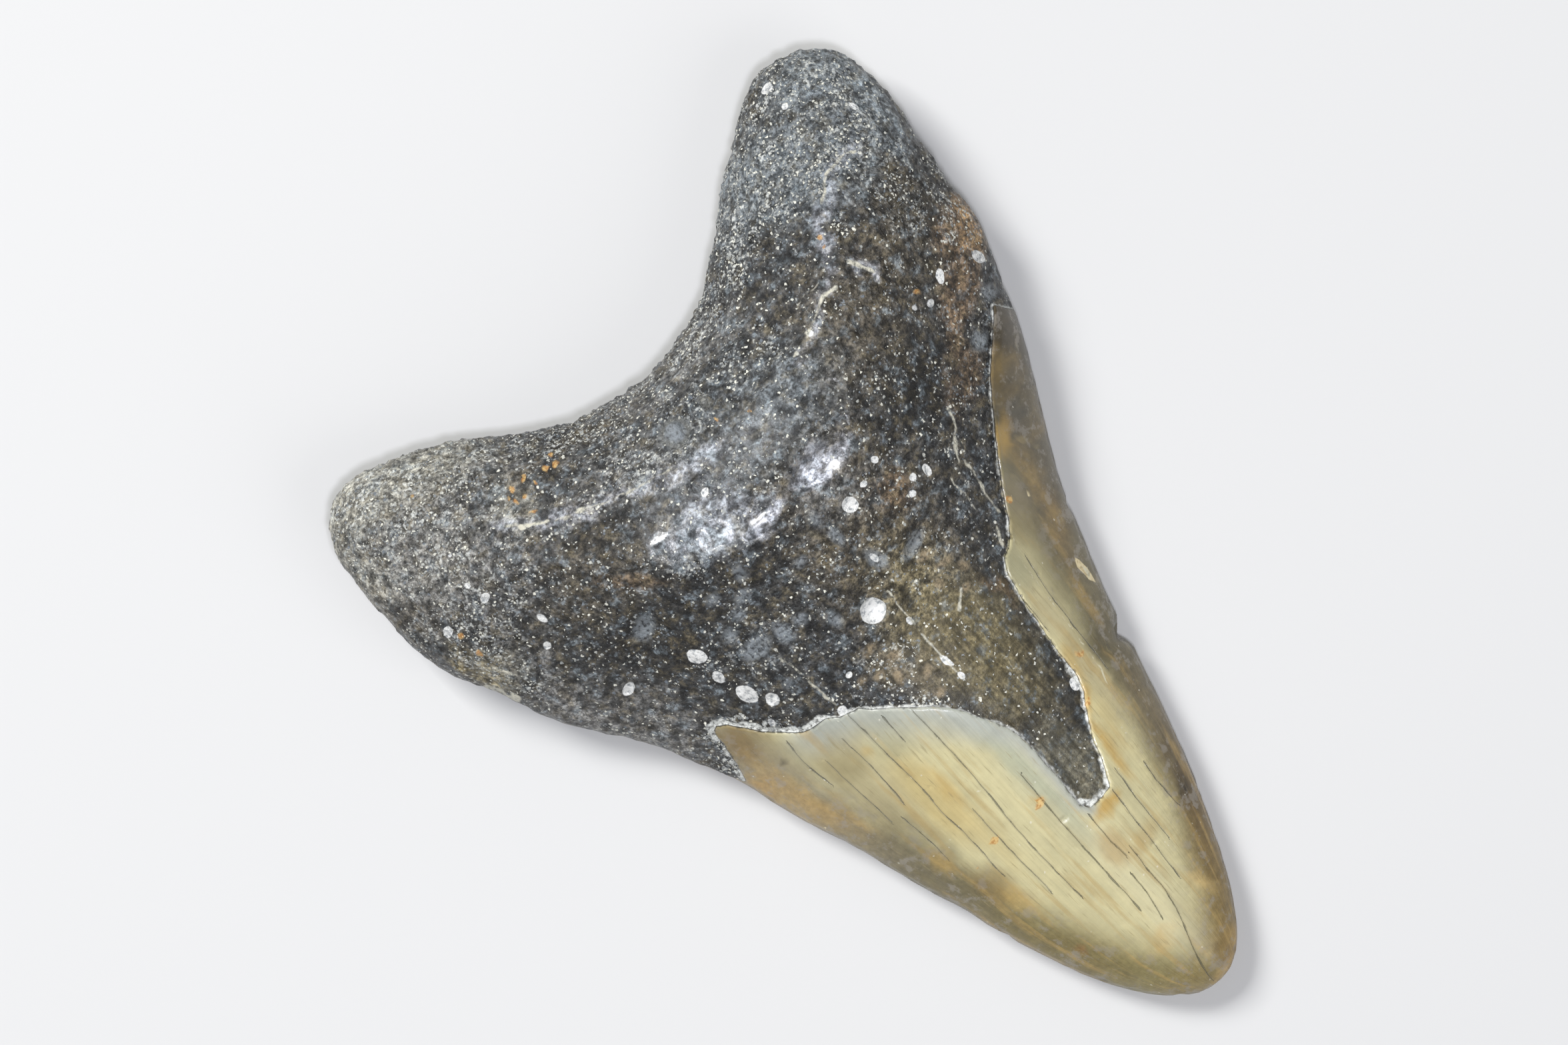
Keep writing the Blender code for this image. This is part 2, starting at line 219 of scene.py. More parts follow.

# %% [markdown]
# ## Lines on the tooth
#
# Three lines organise everything else: the outline, and where the enamel ends on each face. They are listed
# as points, one wherever the line bends. A smooth curve through the points would be enough for the
# outline, but the ragged enamel line needs more: later we let noise push it to and fro.

# %% Outline and enamel lines
RIGHT_BLADE = [
    (-1.1, 0.0), (3.3, 1.8), (6.9, 7.1), (10.2, 14.3), (12.5, 20.3), (14.9, 27.9), (15.7, 30.2),
    (15.3, 31.3), (16.1, 32.2), (19.4, 41.2), (21.1, 45.6), (25.7, 54.1), (28.8, 59.8),
]
LEFT_BLADE = [
    (-3.4, 0.7), (-6.0, 2.9), (-8.4, 6.2), (-10.4, 10.2), (-12.2, 15.0), (-13.6, 19.3), (-14.2, 22.3),
    (-15.2, 24.8), (-17.8, 33.8), (-20.7, 42.6), (-21.2, 45.0), (-24.4, 52.8), (-29.4, 60.8),
]
ROOT_EDGE = [
    (28.8, 59.8), (30.4, 64.2), (32.3, 68.6), (33.2, 75.0), (34.6, 82.6), (34.8, 86.0), (33.6, 92.1),
    (31.8, 93.8), (27.5, 95.2), (22.6, 93.3), (16.2, 89.3), (11.0, 85.2), (5.0, 82.0), (-1.5, 81.1),
    (-8.4, 82.5), (-10.6, 83.4), (-11.2, 84.4), (-12.8, 84.8), (-17.8, 88.6), (-25.3, 92.5), (-29.2, 93.7),
    (-31.9, 93.0), (-33.8, 91.2), (-35.5, 85.0), (-35.8, 80.4), (-34.5, 72.2), (-31.4, 65.0), (-29.4, 60.8),
]
OUTLINE = RIGHT_BLADE + ROOT_EDGE[1:] + LEFT_BLADE[-2::-1]
ENAMEL_LINE = [
    (-21.6, 45.0), (-20.9, 46.2), (-20.4, 48.4), (-20.1, 50.0), (-19.9, 51.6), (-19.4, 51.9), (-18.5, 51.2),
    (-17.6, 50.0), (-16.5, 48.5), (-15.0, 47.0), (-13.7, 45.8), (-12.8, 45.5), (-11.2, 45.2), (-10.0, 44.4),
    (-8.2, 43.9), (-7.2, 42.8), (-5.8, 41.7), (-4.0, 40.1), (-2.9, 39.2), (-1.9, 38.2), (-0.9, 36.6),
    (-0.3, 35.2), (0.5, 33.9), (1.2, 32.0), (1.4, 30.0), (1.3, 26.0), (1.0, 22.4), (1.5, 21.5), (3.0, 21.4),
    (4.3, 21.6), (4.7, 22.5), (5.5, 24.0), (6.2, 25.9), (7.1, 27.5), (8.0, 29.0), (8.8, 30.0), (9.3, 31.4),
    (9.5, 33.2), (9.6, 35.2), (10.0, 37.0), (10.4, 40.0), (10.8, 41.8), (11.2, 43.5), (12.0, 44.7),
    (13.0, 45.1), (13.8, 45.8), (14.6, 46.8), (16.2, 49.3), (17.6, 51.3), (18.8, 53.0), (21.3, 56.2),
    (22.9, 58.2), (24.2, 59.4), (26.8, 61.8), (28.0, 63.2), (29.4, 61.2),
]
OUTER_ENAMEL_LINE = [
    (-27.6, 56.6), (-21.0, 55.2), (-12.0, 56.6), (0.0, 58.0), (12.0, 57.4), (22.0, 57.6), (29.6, 61.0),
]
EDGE_HEIGHT = [(0, 2.3), (12, 2.3), (30, 2.5), (48, 3.0), (60, 3.8), (70, 4.9), (80, 5.7), (95, 5.8)]
print(len(OUTLINE), "points on the outline,", len(ENAMEL_LINE), "on the enamel line")

# %% [markdown]
# Most questions about a point of the skin are then one and the same: how far is it from a line, and on
# which side? We ask it for all points at once, segment by segment, and keep the nearest answer. The side
# comes out as the sign of the distance, and the length along the line is kept too, because a blade's edge
# changes along its way.


# %% Distances to lines
class Nearness:
    """How points lie to a line: how far off (`gap`), how far to its left (`left`), how far along (`along`)."""

    def __init__(self, places, line):
        line = np.array(line, float)
        self.gap = np.full(len(places), np.inf)
        self.left = np.zeros(len(places))
        self.along = np.zeros(len(places))
        passed = 0.0
        for start, end in zip(line[:-1], line[1:]):
            run = end - start
            length = float(np.hypot(*run))
            offset = places[:, :2] - start
            t = np.clip(offset @ run / length**2, 0, 1)
            near = np.hypot(*(offset - t[:, None] * run).T)
            side = (run[0] * offset[:, 1] - run[1] * offset[:, 0]) / length
            closer = near < self.gap
            self.gap = np.where(closer, near, self.gap)
            self.left = np.where(closer, np.copysign(near, side), self.left)
            self.along = np.where(closer, passed + t * length, self.along)
            passed += length


def smooth_line(points, parts=6):
    """A Catmull-Rom curve through the points."""
    given = np.array([points[0], *points, points[-1]], float)
    made = []
    for a, b, c, d in zip(given, given[1:], given[2:], given[3:]):
        for t in np.linspace(0, 1, parts, endpoint=False):
            square = (2 * a - 5 * b + 4 * c - d) * t**2
            cube = (3 * b - a - 3 * c + d) * t**3
            made.append((2 * b + (c - a) * t + square + cube) / 2)
    return np.array([*made, points[-1]])


def inside(places, loop):
    """Which places lie inside a closed loop."""
    loop = np.array(loop, float)
    x, y = places[:, 0], places[:, 1]
    odd = np.zeros(len(places), bool)
    for (x0, y0), (x1, y1) in zip(loop, np.roll(loop, -1, axis=0)):
        if y0 != y1:
            odd ^= ((y0 > y) != (y1 > y)) & (x < x0 + (y - y0) * (x1 - x0) / (y1 - y0))
    return odd


WELL_OUTSIDE = 12.0


def enamel_side(places, line):
    """Distance into the enamel, negative on the bare side of the line."""
    left, low = line[0][0] - WELL_OUTSIDE, line[0][1] - WELL_OUTSIDE
    right, right_low = line[-1][0] + WELL_OUTSIDE, line[-1][1] - WELL_OUTSIDE
    around = [(right, right_low), (right, -WELL_OUTSIDE), (left, -WELL_OUTSIDE), (left, low)]
    gap = Nearness(places, line).gap
    return np.where(inside(places, [*line, *around]), gap, -gap)


def ease(values, start, end):
    """0 up to the start, 1 from the end on, and a soft S between them."""
    t = np.clip((values - start) / (end - start), 0, 1)
    return t * t * (3 - 2 * t)


sample = Nearness(np.array([[0.0, 50.0]]), OUTLINE)
print("the middle of the tooth is", round(float(sample.gap[0]), 1), "mm from the outline")

# %% [markdown]
# Nothing on a fossil is even, so we also need noise. Blender has noise functions that answer for one point
# at a time. With a few hundred thousand points it is faster to build our own: random numbers on a lattice,
# blended smoothly between its corners. A size for each axis lets the same function make round grain or long
# streaks.


# %% Noise
LATTICE = 32
LATTICE_START = 100.0


def lattice_noise(places, size, seed):
    """Smooth random values between -1 and 1 that change over about `size` millimetres."""
    table = np.random.default_rng(seed).uniform(-1, 1, (LATTICE, LATTICE, LATTICE))
    scaled = places / np.broadcast_to(size, 3) + LATTICE_START
    cell = np.floor(scaled).astype(int)
    share = scaled - cell
    share = share * share * (3 - 2 * share)
    total = np.zeros(len(places))
    for corner in itertools.product((0, 1), repeat=3):
        weight = np.prod(np.where(corner, share, 1 - share), axis=1)
        at = (cell + corner) % LATTICE
        total += weight * table[at[:, 0], at[:, 1], at[:, 2]]
    return total


def rough_noise(places, size, seed, layers=3):
    """Noise with finer and fainter noise on top of it."""
    size = np.broadcast_to(size, 3)
    return sum(lattice_noise(places, size / 2**k, seed + k) / 2**k for k in range(layers)) / 1.6


def wandering(places, reach, size, seed):
    """The places pushed about by noise, so that what is laid there gets an irregular edge."""
    pushed = places.copy()
    for axis in (0, 1):
        pushed[:, axis] += reach * rough_noise(places, size, seed + 10 * axis)
    return pushed


print("noise at the tip:", round(float(rough_noise(np.zeros((1, 3)), 2.0, 1)[0]), 3))

# %% [markdown]
# ## What lies where
#
# Now each point of the skin gets its answers: is it on the upper face, how deep is it inside the outline,
# and is it enamel or bare root? The upper and the lower face have their own enamel line, so the answer
# fades from one to the other across the thin edge of the tooth.


# %% Regions
EDGE_BLEND = 0.8
WANDER = 0.1
FINE_WANDER = 0.03
OUTER_WANDER_TIMES = 8


class Regions:
    """Where the points of a mesh lie on the tooth, in millimetres."""

    def __init__(self, mesh):
        found = np.empty(len(mesh.vertices) * 3, np.float32)
        mesh.vertices.foreach_get("co", found)
        self.at = to_tooth(found.reshape(-1, 3))
        mesh.vertex_normals.foreach_get("vector", found)
        self.normal = found.reshape(-1, 3).astype(float)
        edge_height = np.interp(self.at[:, 1], *np.array(EDGE_HEIGHT, float).T)
        self.upper = ease(self.at[:, 2] - edge_height, -EDGE_BLEND, EDGE_BLEND)
        rim = Nearness(self.at, smooth_line([*OUTLINE, OUTLINE[0]], 3))
        self.edge = rim.gap
        self.edge_along = rim.along
        above = enamel_side(self.at, ENAMEL_LINE)
        below = enamel_side(self.at, OUTER_ENAMEL_LINE)
        self.smooth_enamel = self.upper * above + (1 - self.upper) * below
        wander = WANDER * rough_noise(self.at, 1.6, 3) + FINE_WANDER * lattice_noise(self.at, 0.5, 9)
        wander *= OUTER_WANDER_TIMES - (OUTER_WANDER_TIMES - 1) * self.upper
        self.enamel = self.smooth_enamel + wander


regions = Regions(tooth.data)
print(int((regions.enamel > 0).sum()), "of", len(regions.at), "points are enamel")

# %% [markdown]
# ## Relief
#
# From coarse to fine, the real surface has these things to feel: the step where the enamel ends, pits and
# vessel holes in the root, a chip out of the right blade, the streaks of the root's tongue, and grit
# everywhere on the bare root. Each one is a height in millimetres, and all of them together move the points
# along their normals.

# %% Enamel step
SOLID_STEP = 0.4
SOLID_STEP_WIDTH = 0.7
STEP = 0.5
STEP_WIDTH = 0.3
STEP_FADE = 2.0


def enamel_step(here):
    """Swaps the solid's soft step for a crisp and ragged one."""
    fade = np.clip(here.edge / STEP_FADE, 0, 1) * here.upper
    solid_step = SOLID_STEP * np.clip(here.smooth_enamel / SOLID_STEP_WIDTH + 0.5, 0, 1)
    crisp = STEP * ease(here.enamel, -STEP_WIDTH / 2, STEP_WIDTH / 2)
    return fade * (crisp - solid_step)


step_height = enamel_step(regions)
print("the step changes the skin by up to", round(float(np.abs(step_height).max()), 2), "mm")

# %% Pits
PITS = [
    # x, y, half length, half width, turn in degrees, depth, height of the lip
    (4.6, 63.4, 3.3, 1.55, 0, 0.45, 0.14),
    (-0.7, 49.7, 1.3, 1.25, 0, 0.22, 0.1),
    (-2.7, 63.1, 2.6, 0.9, -2, -0.3, 0.0),
    (-2.8, 75.1, 1.2, 1.1, 0, -0.75, -0.2),
    (1.2, 75.3, 0.8, 0.9, 0, -0.15, -0.14),
    (-3.7, 68.9, 0.9, 0.7, 30, -0.3, 0.0),
    (-15.0, 52.1, 0.8, 1.2, 20, -0.1, 0.03),
    (-13.6, 50.1, 0.75, 0.8, 0, 0.1, 0.05),
    (-15.1, 48.5, 0.4, 0.5, 0, 0.12, 0.06),
    (-16.0, 58.0, 0.7, 1.0, 30, -0.08, 0.03),
    (4.6, 58.6, 0.8, 0.8, 0, 0.15, 0.05),
    (2.9, 53.2, 0.8, 1.3, 10, 0.25, 0.05),
    (6.5, 51.7, 1.6, 0.6, 18, 0.22, 0.12),
    (-11.0, 54.5, 1.0, 0.8, 0, 0.2, 0.04),
    (-7.7, 60.8, 0.9, 0.9, 0, 0.2, 0.05),
    (-17.8, 63.5, 1.4, 0.9, 20, 0.2, 0.04),
    (-23.0, 60.3, 0.9, 0.6, 10, 0.15, 0.05),
    (-6.4, 47.2, 0.5, 0.9, -10, 0.15, 0.05),
    (12.3, 56.0, 0.5, 0.7, 0, 0.12, 0.04),
    (21.0, 74.0, 0.45, 1.4, 18, 0.2, 0.05),
    (-26.9, 76.1, 0.7, 0.5, 10, -0.12, 0.0),
    (-20.1, 73.1, 0.6, 0.7, 0, 0.2, 0.06),
    (-17.5, 69.2, 0.7, 0.7, 0, 0.2, 0.06),
    (-0.2, 71.6, 1.0, 0.6, 10, 0.2, 0.05),
    (8.3, 69.6, 1.2, 0.8, -10, 0.15, 0.04),
    (-9.6, 70.4, 1.3, 0.7, 5, 0.18, 0.05),
    (26.2, 93.4, 0.7, 0.45, 0, 0.1, 0.03),
]


def oval(places, x, y, half_length, half_width, turn):
    """0 in the middle of an oval, 1 on its rim, and more outside."""
    angle = math.radians(turn)
    dx, dy = places[:, 0] - x, places[:, 1] - y
    along = dx * math.cos(angle) + dy * math.sin(angle)
    across = dy * math.cos(angle) - dx * math.sin(angle)
    return np.hypot(along / half_length, across / half_width)


PIT_WOBBLE = 0.22
BOWL_FLOOR = 0.35
LIP_PLACE = 1.12
LIP_WIDTH = 0.18


def pits(here):
    """Vessel holes and pits, each a bowl with a low lip."""
    wobbly = here.at.copy()
    wobbly[:, 0] += PIT_WOBBLE * rough_noise(here.at, 1.0, 21)
    wobbly[:, 1] += PIT_WOBBLE * rough_noise(here.at, 1.0, 25)
    height = np.zeros(len(wobbly))
    for *shape, depth, lip in PITS:
        share = oval(wobbly, *shape)
        height -= depth * (1 - ease(share, BOWL_FLOOR, 1.0))
        height += lip * np.exp(-(((share - LIP_PLACE) / LIP_WIDTH) ** 2))
    return height * here.upper


pit_height = pits(regions)
print("the deepest pit goes", round(float(-pit_height.min()), 2), "mm into the skin")

# %% [markdown]
# The blades of a fossil tooth have lost most of their saw teeth, but a faint trace is left, and the left
# blade has little bites along it. Both only touch the outermost millimetre. The chip in the right blade is
# a shell-shaped scoop, as glass would break.

# %% Blades
SAW_PITCH = 0.85
SAW_DEPTH = 0.05
BITE_DEPTH = 0.22
CHIPS = [
    # x, y, half length, half width, turn in degrees, depth
    (15.6, 31.5, 1.5, 0.9, 60, 0.5),
    (20.4, 42.9, 0.7, 0.4, 65, 0.2),
    (24.0, 50.4, 0.9, 0.5, 60, 0.25),
]


def blade_wear(here):
    """Worn saw teeth, small bites and chips along the cutting edges."""
    blade = (1 - ease(here.edge, 0.2, 1.1)) * (1 - ease(here.at[:, 1], 50, 62))
    patchy = ease(lattice_noise(here.at, 6.0, 31), -0.3, 0.6)
    saw = -SAW_DEPTH * patchy * (0.5 + 0.5 * np.cos(2 * np.pi * here.edge_along / SAW_PITCH))
    bites = -BITE_DEPTH * ease(rough_noise(here.at, 2.2, 35), 0.25, 0.8)
    height = blade * (saw + bites)
    for *shape, depth in CHIPS:
        height -= here.upper * depth * (1 - ease(oval(here.at, *shape), 0.2, 1.0))
    return height


blade_height = blade_wear(regions)
print("the blades lose up to", round(float(-blade_height.min()), 2), "mm")

# %% [markdown]
# The root's grit is packed grains of about half a millimetre, where tiny canals open. We scatter seeds over
# the root and let each point of the skin rise towards its nearest seed. That gives rounded grains with
# creases between them, which plain noise can't do. On the tongue the grit gives way to fine streaks along
# the tooth.

# %% Root grain
GRAIN_COUNT = 14_000
GRAIN_SIZE = 0.42


class Grains:
    """Grains round seeds that are scattered over the bare root, each with its own strength."""

    def __init__(self, here):
        picker = np.random.default_rng(7)
        bare = np.flatnonzero(here.enamel < -0.2)
        self.strength = picker.uniform(0.15, 1.0, GRAIN_COUNT)
        self.tree = kdtree.KDTree(GRAIN_COUNT)
        for number, seed in enumerate(here.at[picker.choice(bare, GRAIN_COUNT, replace=False)]):
            self.tree.insert(seed, number)
        self.tree.balance()

    def rise(self, here):
        """From 0 in the creases to 1 on top of the strongest grains."""
        found = np.zeros(len(here.at))
        for number in np.flatnonzero(here.enamel < 0):
            _, seed, gap = self.tree.find(here.at[number])
            found[number] = self.strength[seed] * max(0.0, 1 - (gap / GRAIN_SIZE) ** 2)
        return found


GLOSS_PATCHES = [
    # x, y, half length, half width, turn in degrees, strength
    (-10.6, 67.6, 2.0, 2.0, 0, 1.0),
    (-6.6, 65.4, 2.8, 1.7, -15, 1.0),
    (-2.7, 63.2, 2.9, 1.1, 0, 1.0),
    (4.6, 63.4, 3.7, 2.1, 0, 1.0),
    (9.3, 64.9, 1.2, 0.9, 0, 1.0),
    (10.4, 68.2, 1.6, 0.8, 0, 0.9),
    (-0.7, 49.7, 1.5, 1.4, 0, 0.8),
    (-3, 69.5, 11, 3.4, 0, 0.4),
]


def gloss_share(here):
    """How polished the root is, from 0 to 1, on its rubbed top and on the filling of the large hole."""
    places = wandering(here.at, 0.6, 1.2, 197)
    gloss = np.zeros(len(places))
    for *shape, strength in GLOSS_PATCHES:
        gloss = np.maximum(gloss, strength * (1 - ease(oval(places, *shape), 0.6, 1.2)))
    return gloss * here.upper


GRAIN_PATCHES = [
    # x, y, half length, half width, turn in degrees, density
    (24, 88, 13, 9, 20, 1.0),
    (8, 83, 14, 4, 12, 1.0),
    (-6, 81.5, 12, 3, -6, 1.0),
    (-26, 88, 10, 7, -20, 0.85),
    (-27, 79, 9, 8, 0, 0.65),
    (-14, 84, 8, 4, -30, 0.8),
    (-2, 75.5, 17, 4, 0, 0.6),
    (-5, 69, 12, 3, 0, 0.45),
    (30, 76, 4.5, 9, 0, 0.65),
    (-31, 71, 4, 7, 20, 0.75),
    (-6, 66, 12, 5, 0, 0.45),
    (-12, 55, 8, 8, 0, 0.35),
    (17, 55, 4, 7, -30, 0.3),
    (-3.5, 43.5, 3.4, 4, 30, 0.9),
]


LEAST_DENSITY = 0.26
FROST_REACH = 2.4


def grain_density(here):
    """How thick the white grains lie on the root, from 0 to 1, with a frost of them along the enamel."""
    places = wandering(here.at, 2.0, 3.0, 191)
    density = np.full(len(places), LEAST_DENSITY)
    for *shape, strength in GRAIN_PATCHES:
        density = np.maximum(density, strength * (1 - ease(oval(places, *shape), 0.4, 1.3)))
    tongue = 1 - ease(here.at[:, 1], 38, 52)
    frost = Nearness(places, ENAMEL_LINE[1:20]).gap
    density = np.maximum(density * (1 - 0.6 * tongue), 0.9 * (1 - ease(frost, 0.3, FROST_REACH)))
    return density * (1 - 0.8 * gloss_share(here))


GRIT = 0.12
MORE_GRIT_ON_LOBES = 0.14
LESS_GRIT_ON_TONGUE = 0.05
LUMPS = 0.16
SMALL_LUMPS = 0.12
POLISHED_LUMPS = 0.08
STREAKS = 0.07
FOLDS = 0.24


def root_relief(here):
    """Grit, lumps and streaks of the bare root."""
    bare = 1 - ease(here.enamel, -0.4, 0.0)
    y = here.at[:, 1]
    lobes = ease(y, 66, 84)
    tongue = (1 - ease(y, 38, 52)) * here.upper
    gloss = gloss_share(here)
    coarse = 0.35 + 0.75 * grain_density(here)
    grit_height = GRIT + MORE_GRIT_ON_LOBES * lobes - LESS_GRIT_ON_TONGUE * tongue
    grit = grains.rise(here) * grit_height * (1 - gloss) * coarse
    lumps = LUMPS * rough_noise(here.at, 3.2, 41)
    small_lumps = SMALL_LUMPS * (1 - gloss) * rough_noise(here.at, 1.2, 45)
    polished = gloss * POLISHED_LUMPS * (rough_noise(here.at, 2.0, 57) + rough_noise(here.at, 1.0, 59))
    streaks = STREAKS * rough_noise(here.at, (0.55, 5.0, 0.8), 49) * tongue
    along_notch = np.column_stack([here.edge_along, here.edge, np.zeros(len(y))])
    folds = FOLDS * rough_noise(along_notch, (7.0, 1.3, 1.0), 53) * ease(y, 63, 69) * here.upper
    return bare * (grit + lumps + small_lumps + polished + streaks + folds)


grains = Grains(regions)
grain_height = root_relief(regions)
print("the root's grit and lumps stand up to", round(float(grain_height.max()), 2), "mm")

# %% Enamel relief
GROWTH_RIPPLE = 0.012
RIPPLE_TURN = 2.1
ENAMEL_STREAKS = 0.014
SWELLS = 0.05
POCK_DEPTH = 0.12


def enamel_relief(here):
    """Low growth ripples and streaks on the enamel."""
    covered = ease(here.enamel, 0.1, 0.8)
    streaks = ENAMEL_STREAKS * rough_noise(here.at, (0.6, 12.0, 2.0), 61)
    swells = SWELLS * lattice_noise(here.at, (3.0, 9.0, 3.0), 65)
    pocks = -POCK_DEPTH * ease(lattice_noise(here.at, 0.7, 69), 0.72, 0.95)
    ripples = GROWTH_RIPPLE * np.sin(here.at[:, 1] * RIPPLE_TURN)
    return covered * (streaks + swells + pocks + ripples)


enamel_height = enamel_relief(regions)
print("the enamel's ripples stand up to", round(float(enamel_height.max()), 3), "mm")

# %% [markdown]
# The underside must stay where it rests: the table carries it on three small level patches. So there the
# relief only ever cuts in, and never pushes the skin below the table.


# %% Move the skin
MOST_BELOW = 0.05
MOST_ABOVE = 0.2


def move_skin(piece, here, height):
    """Moves each point along its normal, but never below the table."""
    moved = here.at + here.normal * height[:, None]
    low, high = (to_tooth(corner) for corner in solid_box)
    moved = np.clip(moved, low - MOST_BELOW, high + MOST_ABOVE)
    moved[:, 2] = np.maximum(moved[:, 2], 0.0)
    moved[:, :2] += TIP_IN_FRAME
    piece.data.vertices.foreach_set("co", (moved * MM).astype(np.float32).ravel())
    piece.data.update()


move_skin(tooth, regions, step_height + pit_height + blade_height + grain_height + enamel_height)
print("the skin now measures", [round(1000 * side, 1) for side in tooth.dimensions], "mm")

# %% [markdown]
# Hairline cracks run down the enamel. They are only colour later on, but the skin has to stay fine beside
# them, so their lines are drawn here already.

# %% Cracks
FAR_OFF = 9.0
CRACKS = [
    # points along each crack
    [(-9.3, 44.0), (-9.1, 37.0), (-9.0, 33.8), (-9.2, 31.0), (-9.0, 28.0), (-9.1, 22.4)],
    [(-4.5, 40.0), (-4.5, 35.0), (-4.6, 31.0), (-5.0, 26.0), (-5.1, 23.6), (-5.0, 15.6)],
    [(-1.1, 28.4), (-1.3, 25.6), (-1.5, 22.0), (-1.6, 16.0), (-1.7, 11.0)],
    [(-11.3, 42.6), (-11.1, 39.0), (-11.3, 34.0)],
    [(-13.9, 42.0), (-13.7, 38.0), (-13.4, 33.4)],
    [(-12.3, 33.0), (-12.0, 29.6), (-11.9, 27.0)],
    [(-6.8, 29.0), (-6.9, 25.0), (-6.8, 18.0)],
    [(1.0, 21.0), (0.8, 18.4), (0.9, 15.6)],
    [(1.8, 16.0), (1.5, 13.4), (1.4, 10.6), (0.9, 8.4), (0.3, 6.6), (-0.4, 4.8), (-1.1, 2.4), (-1.3, 0.8)],
    [(0.1, 14.0), (-0.1, 11.6), (-0.7, 8.8)],
    [(4.3, 21.2), (3.9, 17.6), (3.6, 14.0), (3.2, 10.5)],
    [(5.9, 22.4), (5.4, 18.4), (5.1, 14.0)],
    [(8.3, 20.8), (8.1, 18.8), (8.0, 15.6)],
    [(13.6, 43.4), (12.9, 39.4), (12.5, 35.4), (12.0, 30.0)],
    [(10.6, 40.6), (10.3, 36.8)],
    [(-7.0, 41.6), (-7.1, 38.6)],
    [(-15.4, 46.0), (-15.6, 43.4), (-15.2, 40.0)],
]


def nearest_crack(places):
    """The signed distance to the nearest crack, and the plain distance."""
    signed = np.full(len(places), FAR_OFF)
    gap = np.full(len(places), FAR_OFF)
    for points in CRACKS:
        near = Nearness(places, smooth_line(points, 3))
        closer = near.gap < gap
        signed = np.where(closer, near.left, signed)
        gap = np.where(closer, near.gap, gap)
    return signed, gap


print(len(CRACKS), "cracks")

# %% [markdown]
# Half of the squares lie on the underside and on smooth enamel, where nothing needs them. A Decimate
# modifier merges them there, guided by a vertex group, and leaves the root's grit alone.

# %% Thin out
MOST_TRIANGLES = 190_000


def thin_out(piece, here):
    """Merges small faces where the skin is hidden or smooth."""
    hidden = 1 - here.upper
    smooth = 0.55 * ease(here.enamel, 0.4, 1.5)
    smooth = smooth * ease(nearest_crack(here.at)[1], 0.4, 1.0)
    weight = np.clip(np.maximum(hidden, smooth), 0, 1)
    group = piece.vertex_groups.new(name="plain")
    for level in (0.25, 0.5, 0.75, 1.0):
        chosen = np.flatnonzero((weight > level - 0.25) & (weight <= level))
        group.add(chosen.tolist(), level, "REPLACE")
    thin = piece.modifiers.new("thin", "DECIMATE")
    thin.ratio = min(1.0, MOST_TRIANGLES / (2 * len(piece.data.polygons)))
    thin.vertex_group = "plain"
    thin.vertex_group_factor = 1.0
    piece.data = evaluated_copy(piece)
    piece.modifiers.clear()
    piece.vertex_groups.clear()


thin_out(tooth, regions)
tooth.data.shade_smooth()
print("the skin now has", sum(len(face.vertices) - 2 for face in tooth.data.polygons), "triangles")

# %% [markdown]
# ## Colour zones
#
# The large patches of colour, such as the dark bands along the blades or the haze on the root's lobes, are
# painted point by point: each zone is a soft oval or a soft band along a line, and pulls the colour that is
# already there towards its own. This is how one would lay washes with a brush. Some washes paint light and
# shade: painted shade on the root's slopes that fall towards the crown and beside its ridges, a painted
# highlight on the polished top of the bulge and along the ridge lines, and a painted sheen that is part of
# the haze on the lobes. The material adds the fine grain to it later.


# %% Palette
def paint(red, green, blue):
    """A colour as a paint chart gives it, 0 to 255, in the linear values that light needs."""
    share = np.array([red, green, blue]) / 255
    return np.where(share <= 0.04045, share / 12.92, ((share + 0.055) / 1.055) ** 2.4)


CREAM = paint(198, 190, 150)
STRAW = paint(194, 176, 124)
PALE_STRAW = paint(184, 174, 138)
SAGE = paint(162, 158, 128)
OLIVE = paint(140, 128, 94)
BLUE_GREY = paint(164, 168, 162)
MAUVE_GREY = paint(140, 130, 108)
SMUDGE = paint(112, 106, 86)
TAN = paint(166, 136, 82)
BROWN = paint(122, 98, 56)
OCHRE = paint(186, 153, 84)
# The near-black below is the colour of small dark specks on the enamel, and on the root a painted shade.
SOOT_AND_SHADE = paint(30, 29, 27)
SLATE = paint(48, 48, 47)
UMBER = paint(68, 62, 51)
ASH = paint(104, 103, 100)
# The pale grey below is partly a dusty haze on the left lobe and partly a painted sheen on it.
DUST_AND_SHEEN = paint(136, 134, 124)
# The blue-grey below is partly a pale haze on the lobes' ends and partly a painted sheen on the bulge.
MIST_AND_SHEEN = paint(106, 112, 115)
# The light grey below is a painted highlight on the polished bulge, its large vessel hole and the ridge lines.
PAINTED_HIGHLIGHT = paint(150, 153, 160)
CHESTNUT = paint(112, 92, 68)
print("the brightest paint is", CREAM.round(2))

# %% Washes
BLADE_BANDS = {
    # y, width of the band, colour at the edge
    "left": [
        (0, 9.0, (142, 126, 84)), (5, 7.2, (132, 123, 86)), (10, 6.8, (120, 109, 72)),
        (18, 6.0, (116, 106, 70)), (28, 5.6, (108, 100, 72)), (34, 6.0, (136, 125, 96)),
        (41, 6.5, (148, 139, 116)), (50, 9.0, (132, 122, 96)),
    ],
    "right": [
        (0, 6.0, (132, 108, 60)), (5, 5.2, (128, 110, 70)), (12, 5.0, (112, 94, 58)),
        (17, 4.6, (84, 70, 44)), (24, 5.2, (112, 102, 80)), (31, 6.8, (92, 86, 66)),
        (38, 7.0, (108, 101, 78)), (46, 9.0, (96, 89, 72)), (53, 12.0, (86, 80, 64)),
        (60, 14.0, (74, 67, 54)),
    ],
}
